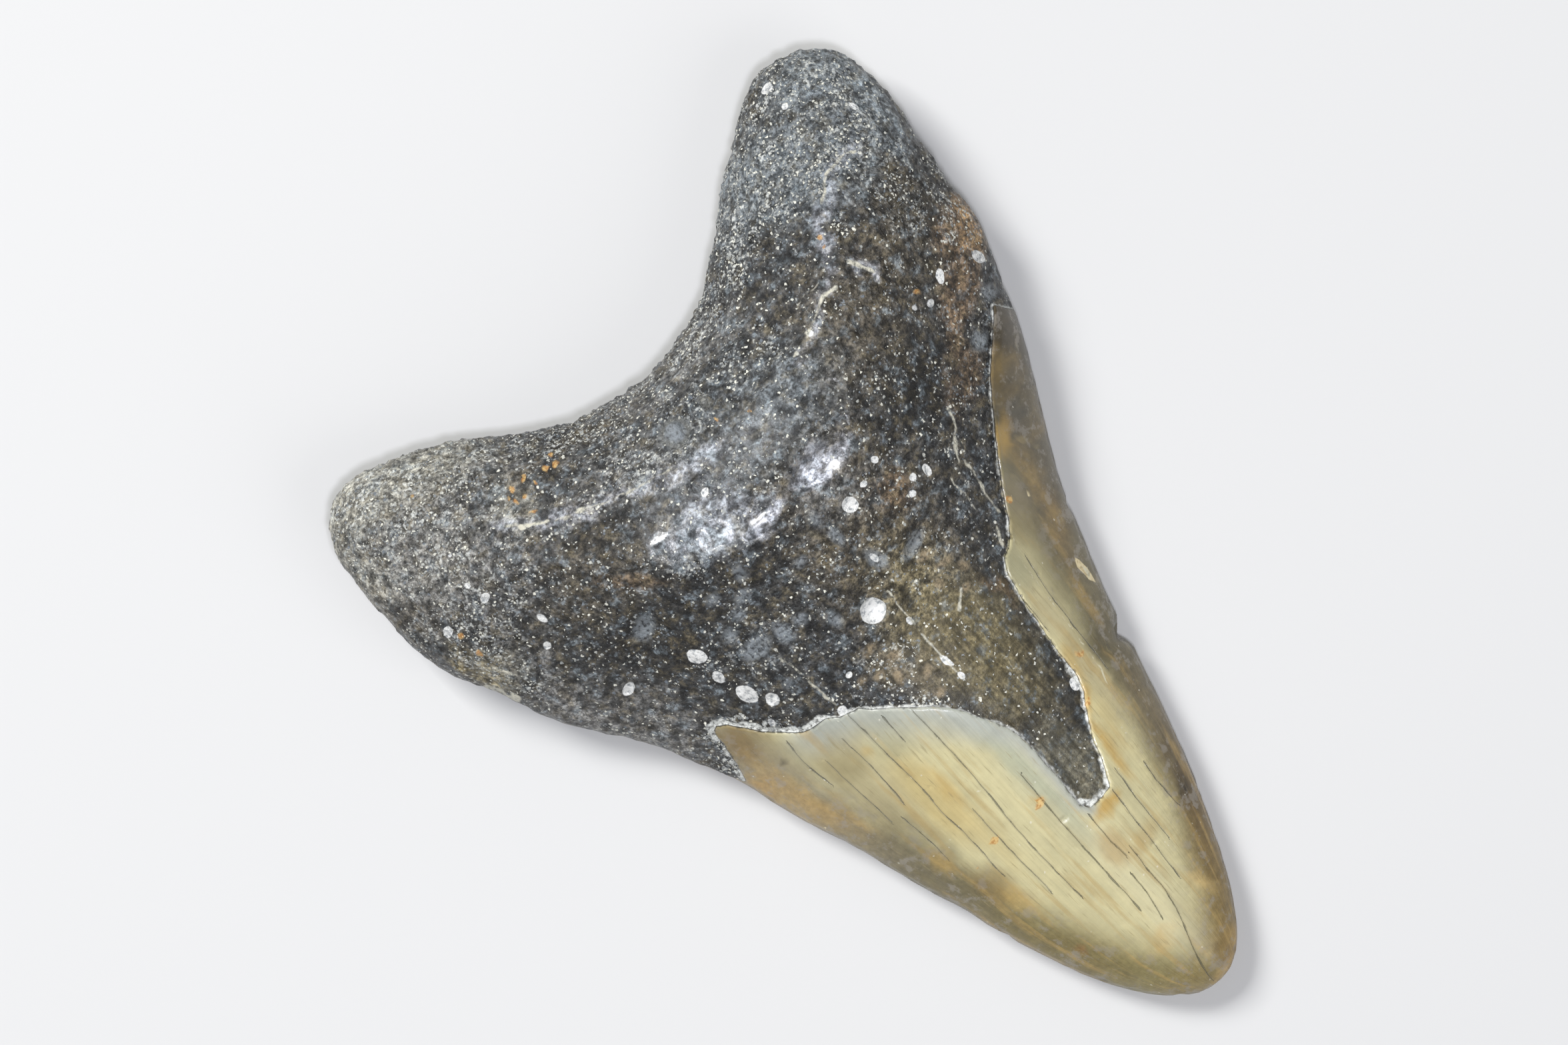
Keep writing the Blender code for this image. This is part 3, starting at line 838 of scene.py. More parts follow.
ENAMEL_WASHES = [
    # x, y, half length, half width, turn in degrees, strength, colour
    (-9, 32.5, 2.6, 7, 4, 0.85, STRAW),
    (-7.6, 26, 1.6, 5, 0, 0.35, STRAW),
    (-12, 36.5, 2.6, 5, 0, 0.6, PALE_STRAW),
    (-13, 41.5, 2.4, 3.6, 0, 0.7, OLIVE),
    (-11, 42.5, 3.4, 2.4, -20, 0.5, PALE_STRAW),
    (-8, 39.5, 2.6, 2.6, 0, 0.5, SAGE),
    (-15, 31, 2.0, 3.4, 12, 0.6, SMUDGE),
    (-12.8, 24, 2.0, 6, 14, 0.35, SMUDGE),
    (-12.8, 27.5, 1.0, 2.2, 10, 0.5, OCHRE),
    (-10.2, 22.0, 1.6, 2.6, 20, 0.6, BROWN),
    (-9.4, 19.6, 1.2, 2.0, 15, 0.45, OCHRE),
    (-18.2, 40.5, 1.0, 6.5, 16, 0.6, TAN),
    (-20.4, 44.5, 0.9, 2.4, 10, 0.8, TAN),
    (-18.4, 49, 1.9, 3.6, 10, 0.6, BROWN),
    (-17.0, 45.3, 0.45, 0.6, 0, 0.75, SOOT_AND_SHADE),
    (-17.6, 43.6, 2.0, 2.8, 0, 0.4, MAUVE_GREY),
    (-10.6, 40.3, 0.8, 0.7, 0, 0.4, OCHRE),
    (-1.4, 36, 1.2, 5, 0, 0.55, SAGE),
    (-0.6, 28, 1.5, 10, 0, 0.75, paint(160, 165, 144)),
    (-1.6, 22, 1.6, 5, 0, 0.4, SAGE),
    (-12.4, 30, 1.6, 6, 8, 0.4, SMUDGE),
    (-13, 35, 1.8, 4, 8, 0.35, OLIVE),
    (1, 6, 1.6, 4, 0, 0.3, OLIVE),
    (12, 43, 1.6, 3.4, -6, 0.85, SAGE),
    (11.6, 38, 1.4, 4, -6, 0.7, PALE_STRAW),
    (10.6, 30, 1.3, 5.5, -6, 0.85, PALE_STRAW),
    (22.4, 53.5, 1.6, 2.6, -28, 0.7, paint(72, 74, 72)),
    (25.0, 57.6, 0.9, 1.6, -28, 0.5, paint(72, 74, 72)),
    (18.0, 43, 1.0, 5, -22, 0.35, BROWN),
    (16.6, 48.4, 1.6, 2.2, 0, 0.5, MAUVE_GREY),
    (20, 53.2, 0.8, 2.6, -35, 0.6, OCHRE),
    (15.2, 46.2, 1.6, 2.4, 0, 0.5, OLIVE),
    (8.6, 26.0, 1.0, 3.4, -14, 0.5, STRAW),
    (6.9, 24.6, 0.8, 3.8, -8, 0.75, OCHRE),
    (8.6, 29.5, 0.7, 2.0, -30, 0.7, OCHRE),
    (10.0, 33.0, 0.6, 2.4, -6, 0.5, OCHRE),
    (2.6, 20.4, 2.0, 0.9, 0, 0.85, OCHRE),
    (0.6, 17.0, 1.6, 2.2, 10, 0.55, TAN),
    (3.4, 15.6, 2.2, 1.0, 10, 0.4, TAN),
    (-2.0, 25.3, 0.9, 0.6, 0, 0.5, OCHRE),
    (-7.6, 32.0, 0.8, 2.6, 0, 0.4, OCHRE),
    (9.8, 16.4, 0.35, 1.2, -25, 0.8, SOOT_AND_SHADE),
    (-1.8, 7.2, 1.6, 1.1, 30, 0.75, paint(196, 172, 120)),
    (4.6, 8.6, 0.7, 1.7, 12, 0.7, paint(196, 172, 120)),
    (3.4, 2.2, 1.8, 0.9, 30, 0.6, OCHRE),
    (0.4, 0.4, 3.2, 0.8, 0, 0.5, OCHRE),
    (-8.4, 11.4, 0.45, 0.5, 0, 0.7, paint(176, 112, 64)),
]
ROOT_WASHES = [
    # x, y, half length, half width, turn in degrees, strength, colour
    (4, 56, 9, 12, 0, 0.75, UMBER),
    (4, 42, 6, 12, 0, 0.9, paint(100, 92, 68)),
    (3, 25, 3, 6, 0, 0.7, paint(106, 102, 86)),
    (17, 70, 9, 8, 0, 0.5, UMBER),
    (27, 75, 6, 8, 0, 0.45, UMBER),
    (-17, 70, 9, 5, 0, 0.5, UMBER),
    (-33.5, 81, 2.6, 6, 0, 0.55, UMBER),
    # Painted shade: these darken the slopes that fall from the bulge towards the crown.
    (-13, 60, 11, 6, 0, 0.55, SOOT_AND_SHADE),
    (-18.5, 62.0, 6, 5, -40, 0.85, SOOT_AND_SHADE),
    (17, 61, 6, 6, 0, 0.45, SOOT_AND_SHADE),
    (18.5, 61.5, 4.5, 5.5, 0, 0.85, SOOT_AND_SHADE),
    # Partly painted sheen: these lighten the top of the bulge where its folds shine.
    (0, 71, 14, 6, 0, 0.3, MIST_AND_SHEEN),
    (9, 69, 6, 4, 20, 0.3, MIST_AND_SHEEN),
    (3.5, 60, 4.6, 2.6, 0, 0.6, ASH),
    # Haze on the lobes: partly a pale film, partly painted sheen.
    (31.5, 82, 2.4, 3.4, 0, 0.5, MIST_AND_SHEEN),
    (-28, 83, 6, 6, 0, 0.35, DUST_AND_SHEEN),
    (-19, 81, 3, 4, 0, 0.4, DUST_AND_SHEEN),
    (-31, 70, 2.6, 4, 20, 0.5, DUST_AND_SHEEN),
    (-26, 72, 4, 4, 0, 0.35, ASH),
    # Painted highlight on the polished top of the bulge.
    (-6, 65.8, 6, 3, -20, 0.4, PAINTED_HIGHLIGHT),
    # Painted shade below the left ridge line.
    (-14, 70.5, 4, 2, -30, 0.4, SOOT_AND_SHADE),
    (-24, 57, 4, 9, 30, 0.4, ASH),
    (-29, 61.5, 2.4, 4.5, 25, 0.5, ASH),
    # The haze on the left lobe's end: partly a pale film, partly painted sheen.
    (-29, 91, 7, 3.6, -12, 0.9, DUST_AND_SHEEN),
    (-23, 89, 7, 3.0, -28, 0.7, DUST_AND_SHEEN),
    (-34, 87, 2.4, 6, 0, 0.5, DUST_AND_SHEEN),
    (-28, 82, 8, 8, 0, 0.6, ASH),
    (-17, 84.5, 4, 2.2, -28, 0.4, ASH),
    (-22, 77, 6, 3, -30, 0.3, ASH),
    (-9, 75, 10, 3, -14, 0.35, ASH),
    (0, 80, 12, 3, 0, 0.35, ASH),
    # The haze on the right lobe's end: partly a pale film, partly painted sheen.
    (30, 92, 4.6, 3.4, -20, 0.7, MIST_AND_SHEEN),
    (33, 88, 2.2, 7, 0, 0.6, MIST_AND_SHEEN),
    (18, 88, 6, 3, 32, 0.65, MIST_AND_SHEEN),
    (25, 86, 9, 7, 0, 0.55, MIST_AND_SHEEN),
    # Painted highlight: the polished top of the bulge and the large vessel hole are lightened where they
    # shine.
    (-7.5, 65.6, 5.0, 2.2, -20, 0.75, MIST_AND_SHEEN),
    (4.6, 63.4, 3.4, 1.7, 0, 0.9, PAINTED_HIGHLIGHT),
    (-2.6, 63.2, 2.6, 0.9, 0, 0.7, PAINTED_HIGHLIGHT),
    (27, 67.5, 2.0, 8, -38, 0.6, CHESTNUT),
    (31.6, 70.3, 1.6, 3.4, -25, 0.9, paint(124, 100, 70)),
    (22, 61, 1.8, 5, -42, 0.35, CHESTNUT),
    (-32.2, 71.5, 1.4, 4, 18, 0.6, OLIVE),
    (-15, 67.3, 3.4, 0.8, -35, 0.35, CHESTNUT),
    (-2.4, 43.6, 2.6, 4.0, 20, 0.45, paint(118, 108, 86)),
    (7.2, 47.8, 2.2, 3.2, 0, 0.45, paint(114, 106, 86)),
    (8.4, 57, 2.6, 2.0, 0, 0.4, CHESTNUT),
    (9.6, 43, 0.8, 3.2, 0, 0.4, CHESTNUT),
]
# The near-black bands are painted shade, beside the root's ridges and on the slopes that fall towards the
# crown. The light grey bands are a painted highlight along the ridge lines.
ROOT_BANDS = [
    # points along the band, half width, strength, colour
    ([(-26, 72), (-22.5, 66), (-19, 61.5)], 2.4, 0.45, SOOT_AND_SHADE),
    ([(-20, 76.0), (-14, 73.2), (-9, 71.4), (-4, 70.0)], 1.1, 0.5, SOOT_AND_SHADE),
    ([(12, 69), (18, 71), (24, 74)], 2.6, 0.4, UMBER),
    ([(-13, 61.4), (-4, 60.6), (6, 59.8), (16, 62)], 1.3, 0.45, SOOT_AND_SHADE),
    ([(-18, 82.2), (-14, 82.4), (-10, 81.2), (-7, 80.0)], 0.9, 0.6, UMBER),
    (
        [(-21.4, 80.2), (-18.3, 77.7), (-14.4, 75.8), (-9.8, 73.8), (-4.7, 72.1), (0, 71.2)],
        0.8, 0.35, PAINTED_HIGHLIGHT,
    ),
    ([(10.5, 72.3), (12.8, 73.0), (15.6, 74.6), (17.9, 75.4), (19.8, 78.1)], 0.6, 0.3, PAINTED_HIGHLIGHT),
    ([(19.8, 78.1), (21.8, 80.4), (24.9, 82.8), (28.8, 83.5)], 0.9, 0.35, PAINTED_HIGHLIGHT),
    ([(20.6, 75.0), (21.8, 71.9)], 0.45, 0.4, PAINTED_HIGHLIGHT),
    ([(-26.8, 68), (-28.4, 63), (-26.0, 57), (-23.4, 52.6)], 1.2, 0.5, ASH),
]


UNDERSIDE_SHARE = 0.3


def wash(colours, here, places, washes):
    """Lays soft ovals of colour over what is there, and only faintly on the underside."""
    reach = UNDERSIDE_SHARE + (1 - UNDERSIDE_SHARE) * here.upper
    for *shape, strength, colour in washes:
        share = strength * reach * (1 - ease(oval(places, *shape), 0.35, 1.25))
        colours += share[:, None] * (colour - colours)


def blade_band(colours, here, places, side, rows):
    """Lays the dark band along one blade: its width and colour change on the way from the tip."""
    y, width = np.array([row[:2] for row in rows], float).T
    edge_colour = np.array([paint(*row[2]) for row in rows])
    band = np.column_stack([np.interp(places[:, 1], y, channel) for channel in edge_colour.T])
    ragged_edge = here.edge + 0.5 * rough_noise(here.at, (1.5, 4.0, 1.5), 111)
    depth = ragged_edge / np.interp(places[:, 1], y, width)
    share = (1 - ease(depth, 0.3, 1.0)) * ease(side * places[:, 0], -1.0, 1.0)
    colours += share[:, None] * (band - colours)


def enamel_paint(here):
    """Large colour patches of the enamel, with a blue-grey band along its edge beside the tongue."""
    places = wandering(here.at, 0.9, (1.6, 4.0, 3.0), 101)
    colours = np.tile(CREAM, (len(places), 1))
    blade_band(colours, here, places, -1, BLADE_BANDS["left"])
    blade_band(colours, here, places, 1, BLADE_BANDS["right"])
    wash(colours, here, places, ENAMEL_WASHES)
    blue = Nearness(here.at, ENAMEL_LINE[11:28])
    reach = np.interp(here.at[:, 1], [22, 30, 36, 42], [1.2, 1.8, 5.0, 4.0])
    share = 0.9 * (1 - ease(blue.gap / reach, 0.1, 1.0)) * here.upper
    colours += share[:, None] * (BLUE_GREY - colours)
    return colours


def root_paint(here):
    """Large colour patches of the root, with painted shade and a painted highlight on its relief."""
    places = wandering(here.at, 1.6, 3.0, 131)
    colours = np.tile(SLATE, (len(places), 1))
    wash(colours, here, places, ROOT_WASHES)
    places = wandering(here.at, 1.1, 1.8, 141)
    for points, half_width, strength, colour in ROOT_BANDS:
        share = strength * (1 - ease(Nearness(places, smooth_line(points, 3)).gap / half_width, 0.2, 1.3))
        colours += share[:, None] * (colour - colours)
    return colours


regions = Regions(tooth.data)
painted = np.where(regions.enamel[:, None] > 0, enamel_paint(regions), root_paint(regions))
print("the average colour is", painted.mean(axis=0).round(3))

# %% [markdown]
# ## Marks
#
# Spots, veins and cracks have crisp edges, finer than the net of the skin. A colour stored on the points
# would blur them. So each point stores a distance instead: how far it lies inside a spot, in millimetres,
# and negative outside. A distance changes evenly, so it survives the blending between points, and the
# material cuts it off sharply at zero.

# %% Spots and veins
BLUE_SPOTS = [
    # x, y, half length, half width, turn in degrees
    (-11.3, 54.7, 1.5, 1.0, 0), (-8.4, 54.1, 0.7, 1.1, 0), (-12.3, 57.3, 0.7, 0.6, 0),
    (-10.2, 58.3, 0.5, 0.55, 0), (-9.0, 59.2, 0.9, 0.5, 10), (-2.6, 57.9, 0.6, 0.35, 0),
    (-11.1, 61.0, 0.6, 0.5, 0), (-7.5, 61.1, 0.5, 0.7, -20), (-6.4, 53.9, 0.55, 0.5, 0),
    (1.6, 57.3, 0.5, 0.9, 0), (2.9, 53.2, 0.7, 1.2, 10), (6.5, 51.7, 1.5, 0.6, 18),
    (-17.8, 63.5, 1.3, 0.9, 20), (24.6, 61.5, 0.9, 0.7, 30), (28.5, 64.3, 0.8, 0.6, 0),
    (-3.9, 51.5, 0.5, 0.7, 0), (-11.5, 50.2, 0.35, 0.35, 0), (1.2, 60.0, 0.5, 0.7, 0),
]
TAN_SPOTS = [
    # x, y, half length, half width, turn in degrees
    (-3.6, 47.2, 0.7, 0.4, 20), (-2.2, 45.2, 0.7, 0.5, 0), (-3.2, 43.6, 0.4, 0.9, -20),
    (-0.9, 41.9, 0.6, 0.4, 30), (6.4, 50.2, 0.8, 0.4, 0), (7.4, 48.4, 0.8, 0.3, -10),
    (5.6, 47.2, 0.4, 0.5, 0), (8.6, 46.9, 0.4, 0.5, 0), (-1.4, 39.6, 0.5, 0.4, 0),
    (-4.6, 44.8, 0.5, 0.3, 0), (7.2, 45.2, 0.5, 0.3, 0), (-6.0, 45.6, 0.4, 0.3, 0),
]
WHITE_SPOTS = [
    # x, y, half length, half width, turn in degrees
    (-0.7, 49.7, 1.25, 1.2, 0), (-15.0, 52.1, 0.72, 1.15, 20), (-13.6, 50.1, 0.65, 0.75, 0),
    (-15.2, 48.5, 0.3, 0.42, 0), (-16.0, 58.1, 0.65, 1.0, 30), (-15.9, 55.2, 0.5, 0.7, 10),
    (4.6, 58.6, 0.75, 0.78, 0), (9.3, 60.1, 0.4, 0.4, 0), (12.3, 56.0, 0.4, 0.65, -15),
    (10.8, 56.4, 0.35, 0.4, 0), (9.7, 55.3, 0.4, 0.35, 0), (26.0, 68.6, 0.4, 0.8, -35),
    (30.2, 67.5, 0.5, 0.75, 0), (23.6, 67.4, 0.4, 0.4, 0), (22.1, 68.1, 0.3, 0.3, 0),
    (26.4, 93.3, 0.65, 0.4, 0), (26.4, 90.8, 0.35, 0.35, 0), (31.2, 86.2, 0.25, 0.6, 20),
    (-26.9, 76.1, 0.55, 0.42, 10), (-31.9, 76.2, 0.55, 0.5, 0), (-27.4, 78.1, 0.3, 0.3, 0),
    (-24.3, 70.9, 0.3, 0.6, 15), (-25.8, 68.7, 0.35, 0.4, 0), (-23.0, 60.3, 0.75, 0.5, 10),
    (1.2, 46.6, 0.3, 0.4, 0), (1.1, 41.4, 0.3, 0.75, 10), (1.2, 39.4, 0.3, 0.5, 0),
    (-6.6, 46.8, 0.3, 0.3, 0), (8.6, 31.1, 0.45, 0.65, -10), (-9.4, 44.7, 0.5, 0.5, 0),
    (-4.6, 68.9, 0.5, 0.35, 30), (13.1, 73.1, 0.35, 0.35, 0), (-26.7, 81.3, 0.2, 0.2, 0),
    (6.9, 59.2, 0.4, 0.3, 0), (-2.7, 28.7, 0.22, 0.18, 0), (2.9, 53.4, 0.3, 0.5, 10),
]
KNOB = [(-2.8, 75.1, 1.3, 1.2, 0)]
GROOVES = [(-2.8, 75.1, 1.3, 1.2, 0), (1.3, 75.3, 0.3, 0.5, 0), (2.6, 73.4, 0.3, 0.2, 0)]
CREAM_SPOTS = [
    # x, y, half length, half width, turn in degrees
    (16.9, 38.2, 0.4, 1.7, -6), (18.2, 47.5, 0.36, 0.75, -10), (-18.7, 37.3, 0.3, 0.25, 0),
    (-25.1, 81.3, 0.42, 0.4, 0), (-18.2, 71.3, 0.25, 0.22, 0), (-2.9, 47.0, 0.5, 0.4, 0),
    (-18.2, 77.4, 0.9, 0.35, -35), (-14.6, 75.8, 0.6, 0.22, -30), (-1.7, 43.4, 0.3, 0.3, 0),
    (-33.1, 74.1, 0.35, 0.3, 0), (-28.5, 69.5, 0.4, 0.35, 0),
]
OCHRE_SPOTS = [
    # x, y, half length, half width, turn in degrees
    (-17.9, 81.9, 0.25, 0.3, 0), (-18.4, 80.7, 0.2, 0.25, 0), (-17.4, 80.6, 0.22, 0.25, 0),
    (-16.4, 81.9, 0.35, 0.22, 20), (-15.9, 80.8, 0.2, 0.3, 0), (-14.3, 81.2, 0.35, 0.28, -30),
    (-13.3, 80.8, 0.42, 0.36, 0), (-13.0, 81.8, 0.24, 0.2, 0), (-18.8, 81.4, 0.18, 0.18, 0),
    (-18.0, 78.9, 0.5, 0.1, -25), (20.2, 79.2, 0.2, 0.35, 0), (19.7, 78.2, 0.2, 0.2, 0),
    (-31.2, 75.1, 0.35, 0.35, 0), (-31.1, 72.6, 0.35, 0.3, -30), (23.3, 69.0, 0.35, 0.3, 0),
    (-1.9, 25.3, 0.75, 0.5, 0), (-7.4, 25.4, 0.6, 0.32, 0), (-10.5, 24.7, 0.4, 0.3, 0),
    (-10.9, 19.2, 0.35, 0.35, 0), (11.0, 33.0, 0.45, 0.5, 0), (19.4, 48.4, 0.25, 0.25, 0),
    (16.2, 48.4, 0.3, 0.4, 0), (8.4, 28.9, 0.5, 0.35, 30), (13.0, 27.3, 0.3, 0.25, 0),
    (1.0, 73.3, 0.2, 0.35, 0), (3.7, 71.6, 0.2, 0.2, 0), (-25.5, 87.9, 0.15, 0.12, 0),
]
PALE_VEINS = [
    # points along the vein, half width
    ([(-20.8, 79.9), (-19.5, 78.6), (-17.4, 77.2)], 0.16),
    ([(-17.0, 76.9), (-15.9, 76.4), (-14.2, 75.7)], 0.18),
    ([(-14.0, 75.6), (-12.5, 74.9), (-10.0, 74.0), (-8.0, 73.5), (-5.6, 72.9)], 0.08),
    ([(10.5, 72.5), (12.0, 73.0), (13.5, 73.4), (15.0, 74.3), (16.5, 74.9), (17.8, 74.7)], 0.13),
    ([(13.8, 75.7), (15.2, 76.2), (17.0, 76.0)], 0.06),
    ([(17.9, 58.8), (17.6, 57.8), (16.8, 56.8), (15.8, 55.8), (15.1, 54.4)], 0.11),
    ([(15.6, 54.2), (15.3, 52.2), (15.0, 51.0), (14.8, 49.5), (14.6, 48.2)], 0.09),
    ([(13.4, 54.0), (13.3, 51.5), (13.1, 50.0)], 0.06),
    ([(13.5, 47.4), (13.1, 46.5), (12.7, 45.6)], 0.1),
    ([(5.2, 44.2), (6.0, 44.7), (6.9, 45.4)], 0.12),
    ([(1.6, 50.0), (1.3, 46.6), (1.1, 44.0), (1.1, 41.5), (1.2, 38.6)], 0.08),
    ([(-10.2, 52.5), (-9.8, 49.5), (-9.6, 45.6)], 0.07),
    ([(-33.0, 69.9), (-32.4, 69.0), (-31.6, 67.0)], 0.2),
    ([(-32.2, 71.6), (-31.2, 70.8), (-30.0, 68.6)], 0.06),
    ([(22.4, 81.4), (24.5, 83.1), (27.0, 83.5), (29.4, 82.6)], 0.1),
    ([(20.4, 75.6), (21.0, 74.4), (21.6, 72.8)], 0.16),
    ([(7.2, 26.4), (8.0, 28.2), (9.2, 30.0)], 0.12),
]
ENAMEL_VEINS = [
    # points along the vein, half width
    ([(13.9, 45.4), (13.1, 44.0), (12.4, 38.6), (11.6, 30.5), (10.4, 27.6), (8.9, 24.6)], 0.06),
    ([(17.4, 39.7), (17.0, 38.8), (17.1, 37.6), (16.6, 36.6)], 0.2),
    ([(15.0, 31.7), (15.6, 31.4)], 0.16),
]
CRUSTS = [
    # part of the enamel line by its point numbers, half width
    (1, 5, 0.2), (4, 8, 0.28), (7, 12, 0.22), (11, 16, 0.13), (15, 22, 0.06), (21, 26, 0.06), (26, 28, 0.3),
    (28, 29, 0.08), (29, 31, 0.16), (31, 34, 0.08), (34, 37, 0.18), (37, 43, 0.05), (45, 56, 0.06),
]


def depth_in_spots(places, spots):
    """Millimetres inside the nearest spot, negative outside."""
    depth = np.full(len(places), -FAR_OFF)
    for shape in spots:
        size = math.sqrt(shape[2] * shape[3])
        depth = np.maximum(depth, size * (1 - oval(places, *shape)))
    return depth


GROOVE_HALF_WIDTH = 0.15


def depth_in_rings(places, spots):
    """Millimetres inside the groove round each knob."""
    depth = np.full(len(places), -FAR_OFF)
    for shape in spots:
        depth = np.maximum(depth, GROOVE_HALF_WIDTH - shape[2] * np.abs(1 - oval(places, *shape)))
    return depth


def depth_in_veins(here, places, veins):
    """Millimetres inside the pale veins, whose width comes and goes."""
    depth = np.full(len(places), -FAR_OFF)
    patchy = lattice_noise(here.at, 0.8, 151)
    for points, half_width in veins:
        depth = np.maximum(depth, half_width * (0.9 + 1.2 * patchy) - Nearness(places, points).gap)
    return depth


def depth_in_crusts(here, places):
    """Millimetres inside the crust that lies on the root against the enamel's edge."""
    depth = np.full(len(places), -FAR_OFF)
    patchy = rough_noise(here.at, 0.9, 155)
    for first, last, half_width in CRUSTS:
        near = Nearness(places, ENAMEL_LINE[first : last + 1]).gap
        crust = half_width * (1.0 + 1.5 * patchy) - np.abs(near - half_width)
        depth = np.maximum(depth, np.minimum(crust, 0.1 - here.enamel))
    return depth


spotted = wandering(regions.at, 0.14, 0.7, 161)
marks = {
    "blue_spot": depth_in_spots(spotted, BLUE_SPOTS),
    "tan_spot": depth_in_spots(spotted, TAN_SPOTS),
    "white_spot": depth_in_spots(spotted, WHITE_SPOTS),
    "knob": depth_in_spots(spotted, KNOB),
    "groove": depth_in_rings(spotted, GROOVES),
    "cream_spot": depth_in_spots(spotted, CREAM_SPOTS),
    "ochre_spot": depth_in_spots(wandering(regions.at, 0.3, 0.6, 165), OCHRE_SPOTS),
    "vein": depth_in_veins(regions, wandering(regions.at, 0.25, 0.9, 171), PALE_VEINS),
    "enamel_vein": depth_in_veins(regions, wandering(regions.at, 0.15, 0.9, 175), ENAMEL_VEINS),
    "crust": depth_in_crusts(regions, wandering(regions.at, 0.3, 0.8, 177)),
}
for name, depth in marks.items():
    depth[regions.upper < 0.5] = -FAR_OFF
    print(name, "covers", int((depth > 0).sum()), "points")

# %% Distance to the cracks
crack_places = wandering(regions.at, 0.1, (0.6, 1.6, 1.0), 181)
marks["crack_side"], marks["crack_gap"] = nearest_crack(crack_places)
marks["crack_gap"] += FAR_OFF * (1 - regions.upper)
print("the nearest point lies", round(float(marks["crack_gap"].min()), 3), "mm from a crack")

# %% [markdown]
# Two more maps steer the grain. The white grains of the root crowd on the lobes and along the notch, and
# thin out towards the tongue. And the enamel is striped along its growth: the stripes run straight down its
# middle but follow the blades near them, so the material needs a coordinate across the stripes that bends
# in the same way.

# %% Grain and stripes
def stripe_place(here):
    """A coordinate across the enamel's stripes, in millimetres."""
    x, y = here.at[:, 0], here.at[:, 1]
    right = np.interp(y, *np.array(sorted(RIGHT_BLADE, key=lambda p: p[1])).T[::-1])
    left = np.interp(y, *np.array(sorted(LEFT_BLADE, key=lambda p: p[1])).T[::-1])
    blade = np.maximum(np.where(x > 0, right, -left), 2.5)
    share = np.clip(np.abs(x) / blade, 0, 1)
    return x * (14.0 / blade) ** (share**2)


marks["enamel"] = regions.enamel
marks["grain"] = grain_density(regions)
marks["grit"] = grains.rise(regions)
marks["gloss"] = gloss_share(regions)
marks["rim"] = regions.edge
marks["stripe"] = stripe_place(regions)
print("the stripes' own coordinate runs up to", round(marks["stripe"].max()))

# %% Store on the skin
def store(piece, colours, values):
    """Keeps the painted colour and the distances on the points of the skin."""
    layer = piece.data.color_attributes.new("painted", "FLOAT_COLOR", "POINT")
    full = np.column_stack([colours, np.ones(len(colours))])
    layer.data.foreach_set("color", full.astype(np.float32).ravel())
    for name, numbers in values.items():
        kept = piece.data.attributes.new(name, "FLOAT", "POINT")
        kept.data.foreach_set("value", numbers.astype(np.float32))


store(tooth, painted, marks)
print("stored", ", ".join(sorted(marks)))

# %% [markdown]
# ## Material
#
# Root and enamel share one material, because they share one skin: the ragged line between them is cut by
# the stored distance. A material is a graph of small boxes. To keep it readable we write a few helpers,
# each of which adds one box and returns its output, so the graph reads like a formula.


# %% Helpers for the material
class Graph:
    """Adds nodes to a material, one per call, and returns their outputs."""

    def __init__(self, tree):
        self.tree = tree

    def node(self, kind, inputs=(), output=0, **settings):
        made = self.tree.nodes.new(kind)
        for name, value in settings.items():
            setattr(made, name, value)
        for socket, value in dict(inputs).items():
            if isinstance(value, bpy.types.NodeSocket):
                self.tree.links.new(value, made.inputs[socket])
            else:
                made.inputs[socket].default_value = value
        return made.outputs[output]

    def stored(self, name):
        """A number that the skin keeps on its points."""
        return self.node("ShaderNodeAttribute", attribute_name=name, output="Fac")

    def maths(self, operation, a, b=0.0):
        return self.node("ShaderNodeMath", {0: a, 1: b}, operation=operation)

    def times(self, a, b):
        return self.maths("MULTIPLY", a, b)

    def between(self, value, start, end, low=0.0, high=1.0):
        """Maps a value softly from one range to another."""
        inputs = {"Value": value, "From Min": start, "From Max": end, "To Min": low, "To Max": high}
        return self.node("ShaderNodeMapRange", inputs, interpolation_type="SMOOTHSTEP")

    def blend(self, share, a, b):
        """A number between two others."""
        return self.node("ShaderNodeMix", {"Factor": share, 2: a, 3: b}, data_type="FLOAT")

    def mix(self, share, a, b, blend_type="MIX"):
        """A colour between two others."""
        inputs = {"Factor": share, 6: a, 7: b}
        return self.node("ShaderNodeMix", inputs, 2, data_type="RGBA", blend_type=blend_type)

    def tint(self, share, below, low, high):
        """Multiplies the colour below by a tint between two others."""
        return self.mix(1.0, below, self.mix(share, (*low, 1.0), (*high, 1.0)), "MULTIPLY")

    def scaled(self, vector, factor):
        return self.node("ShaderNodeVectorMath", {0: vector, 3: factor}, operation="SCALE")

    def noise(self, place, scale, detail=3.0, roughness=0.55):
        inputs = {"Vector": place, "Scale": scale, "Detail": detail, "Roughness": roughness}
        return self.node("ShaderNodeTexNoise", inputs, "Fac")

    def cells(self, place, size):
        """Voronoi cells: the distance to the nearest seed, and three random numbers for each cell."""
        gap = self.node("ShaderNodeTexVoronoi", {"Vector": place, "Scale": 1 / size}, "Distance")
        random = self.node("ShaderNodeSeparateColor", {0: gap.node.outputs["Color"]})
        return gap, random.node.outputs


def socket_value(colour):
    """A linear colour as a socket value."""
    return (*(float(part) for part in colour), 1.0)


def ink(red, green, blue):
    """A paint as a socket value."""
    return socket_value(paint(red, green, blue))


fossil = bpy.data.materials.new("fossil root and enamel")
fossil.use_nodes = True
graph = Graph(fossil.node_tree)
shader = fossil.node_tree.nodes["Principled BSDF"]
position = graph.node("ShaderNodeTexCoord", output="Object")
place = graph.scaled(position, 1 / MM)
painted_colour = graph.node("ShaderNodeAttribute", attribute_name="painted", output="Color")
is_enamel = graph.between(graph.stored("enamel"), -0.05, 0.05)
print("texture places are in millimetres")

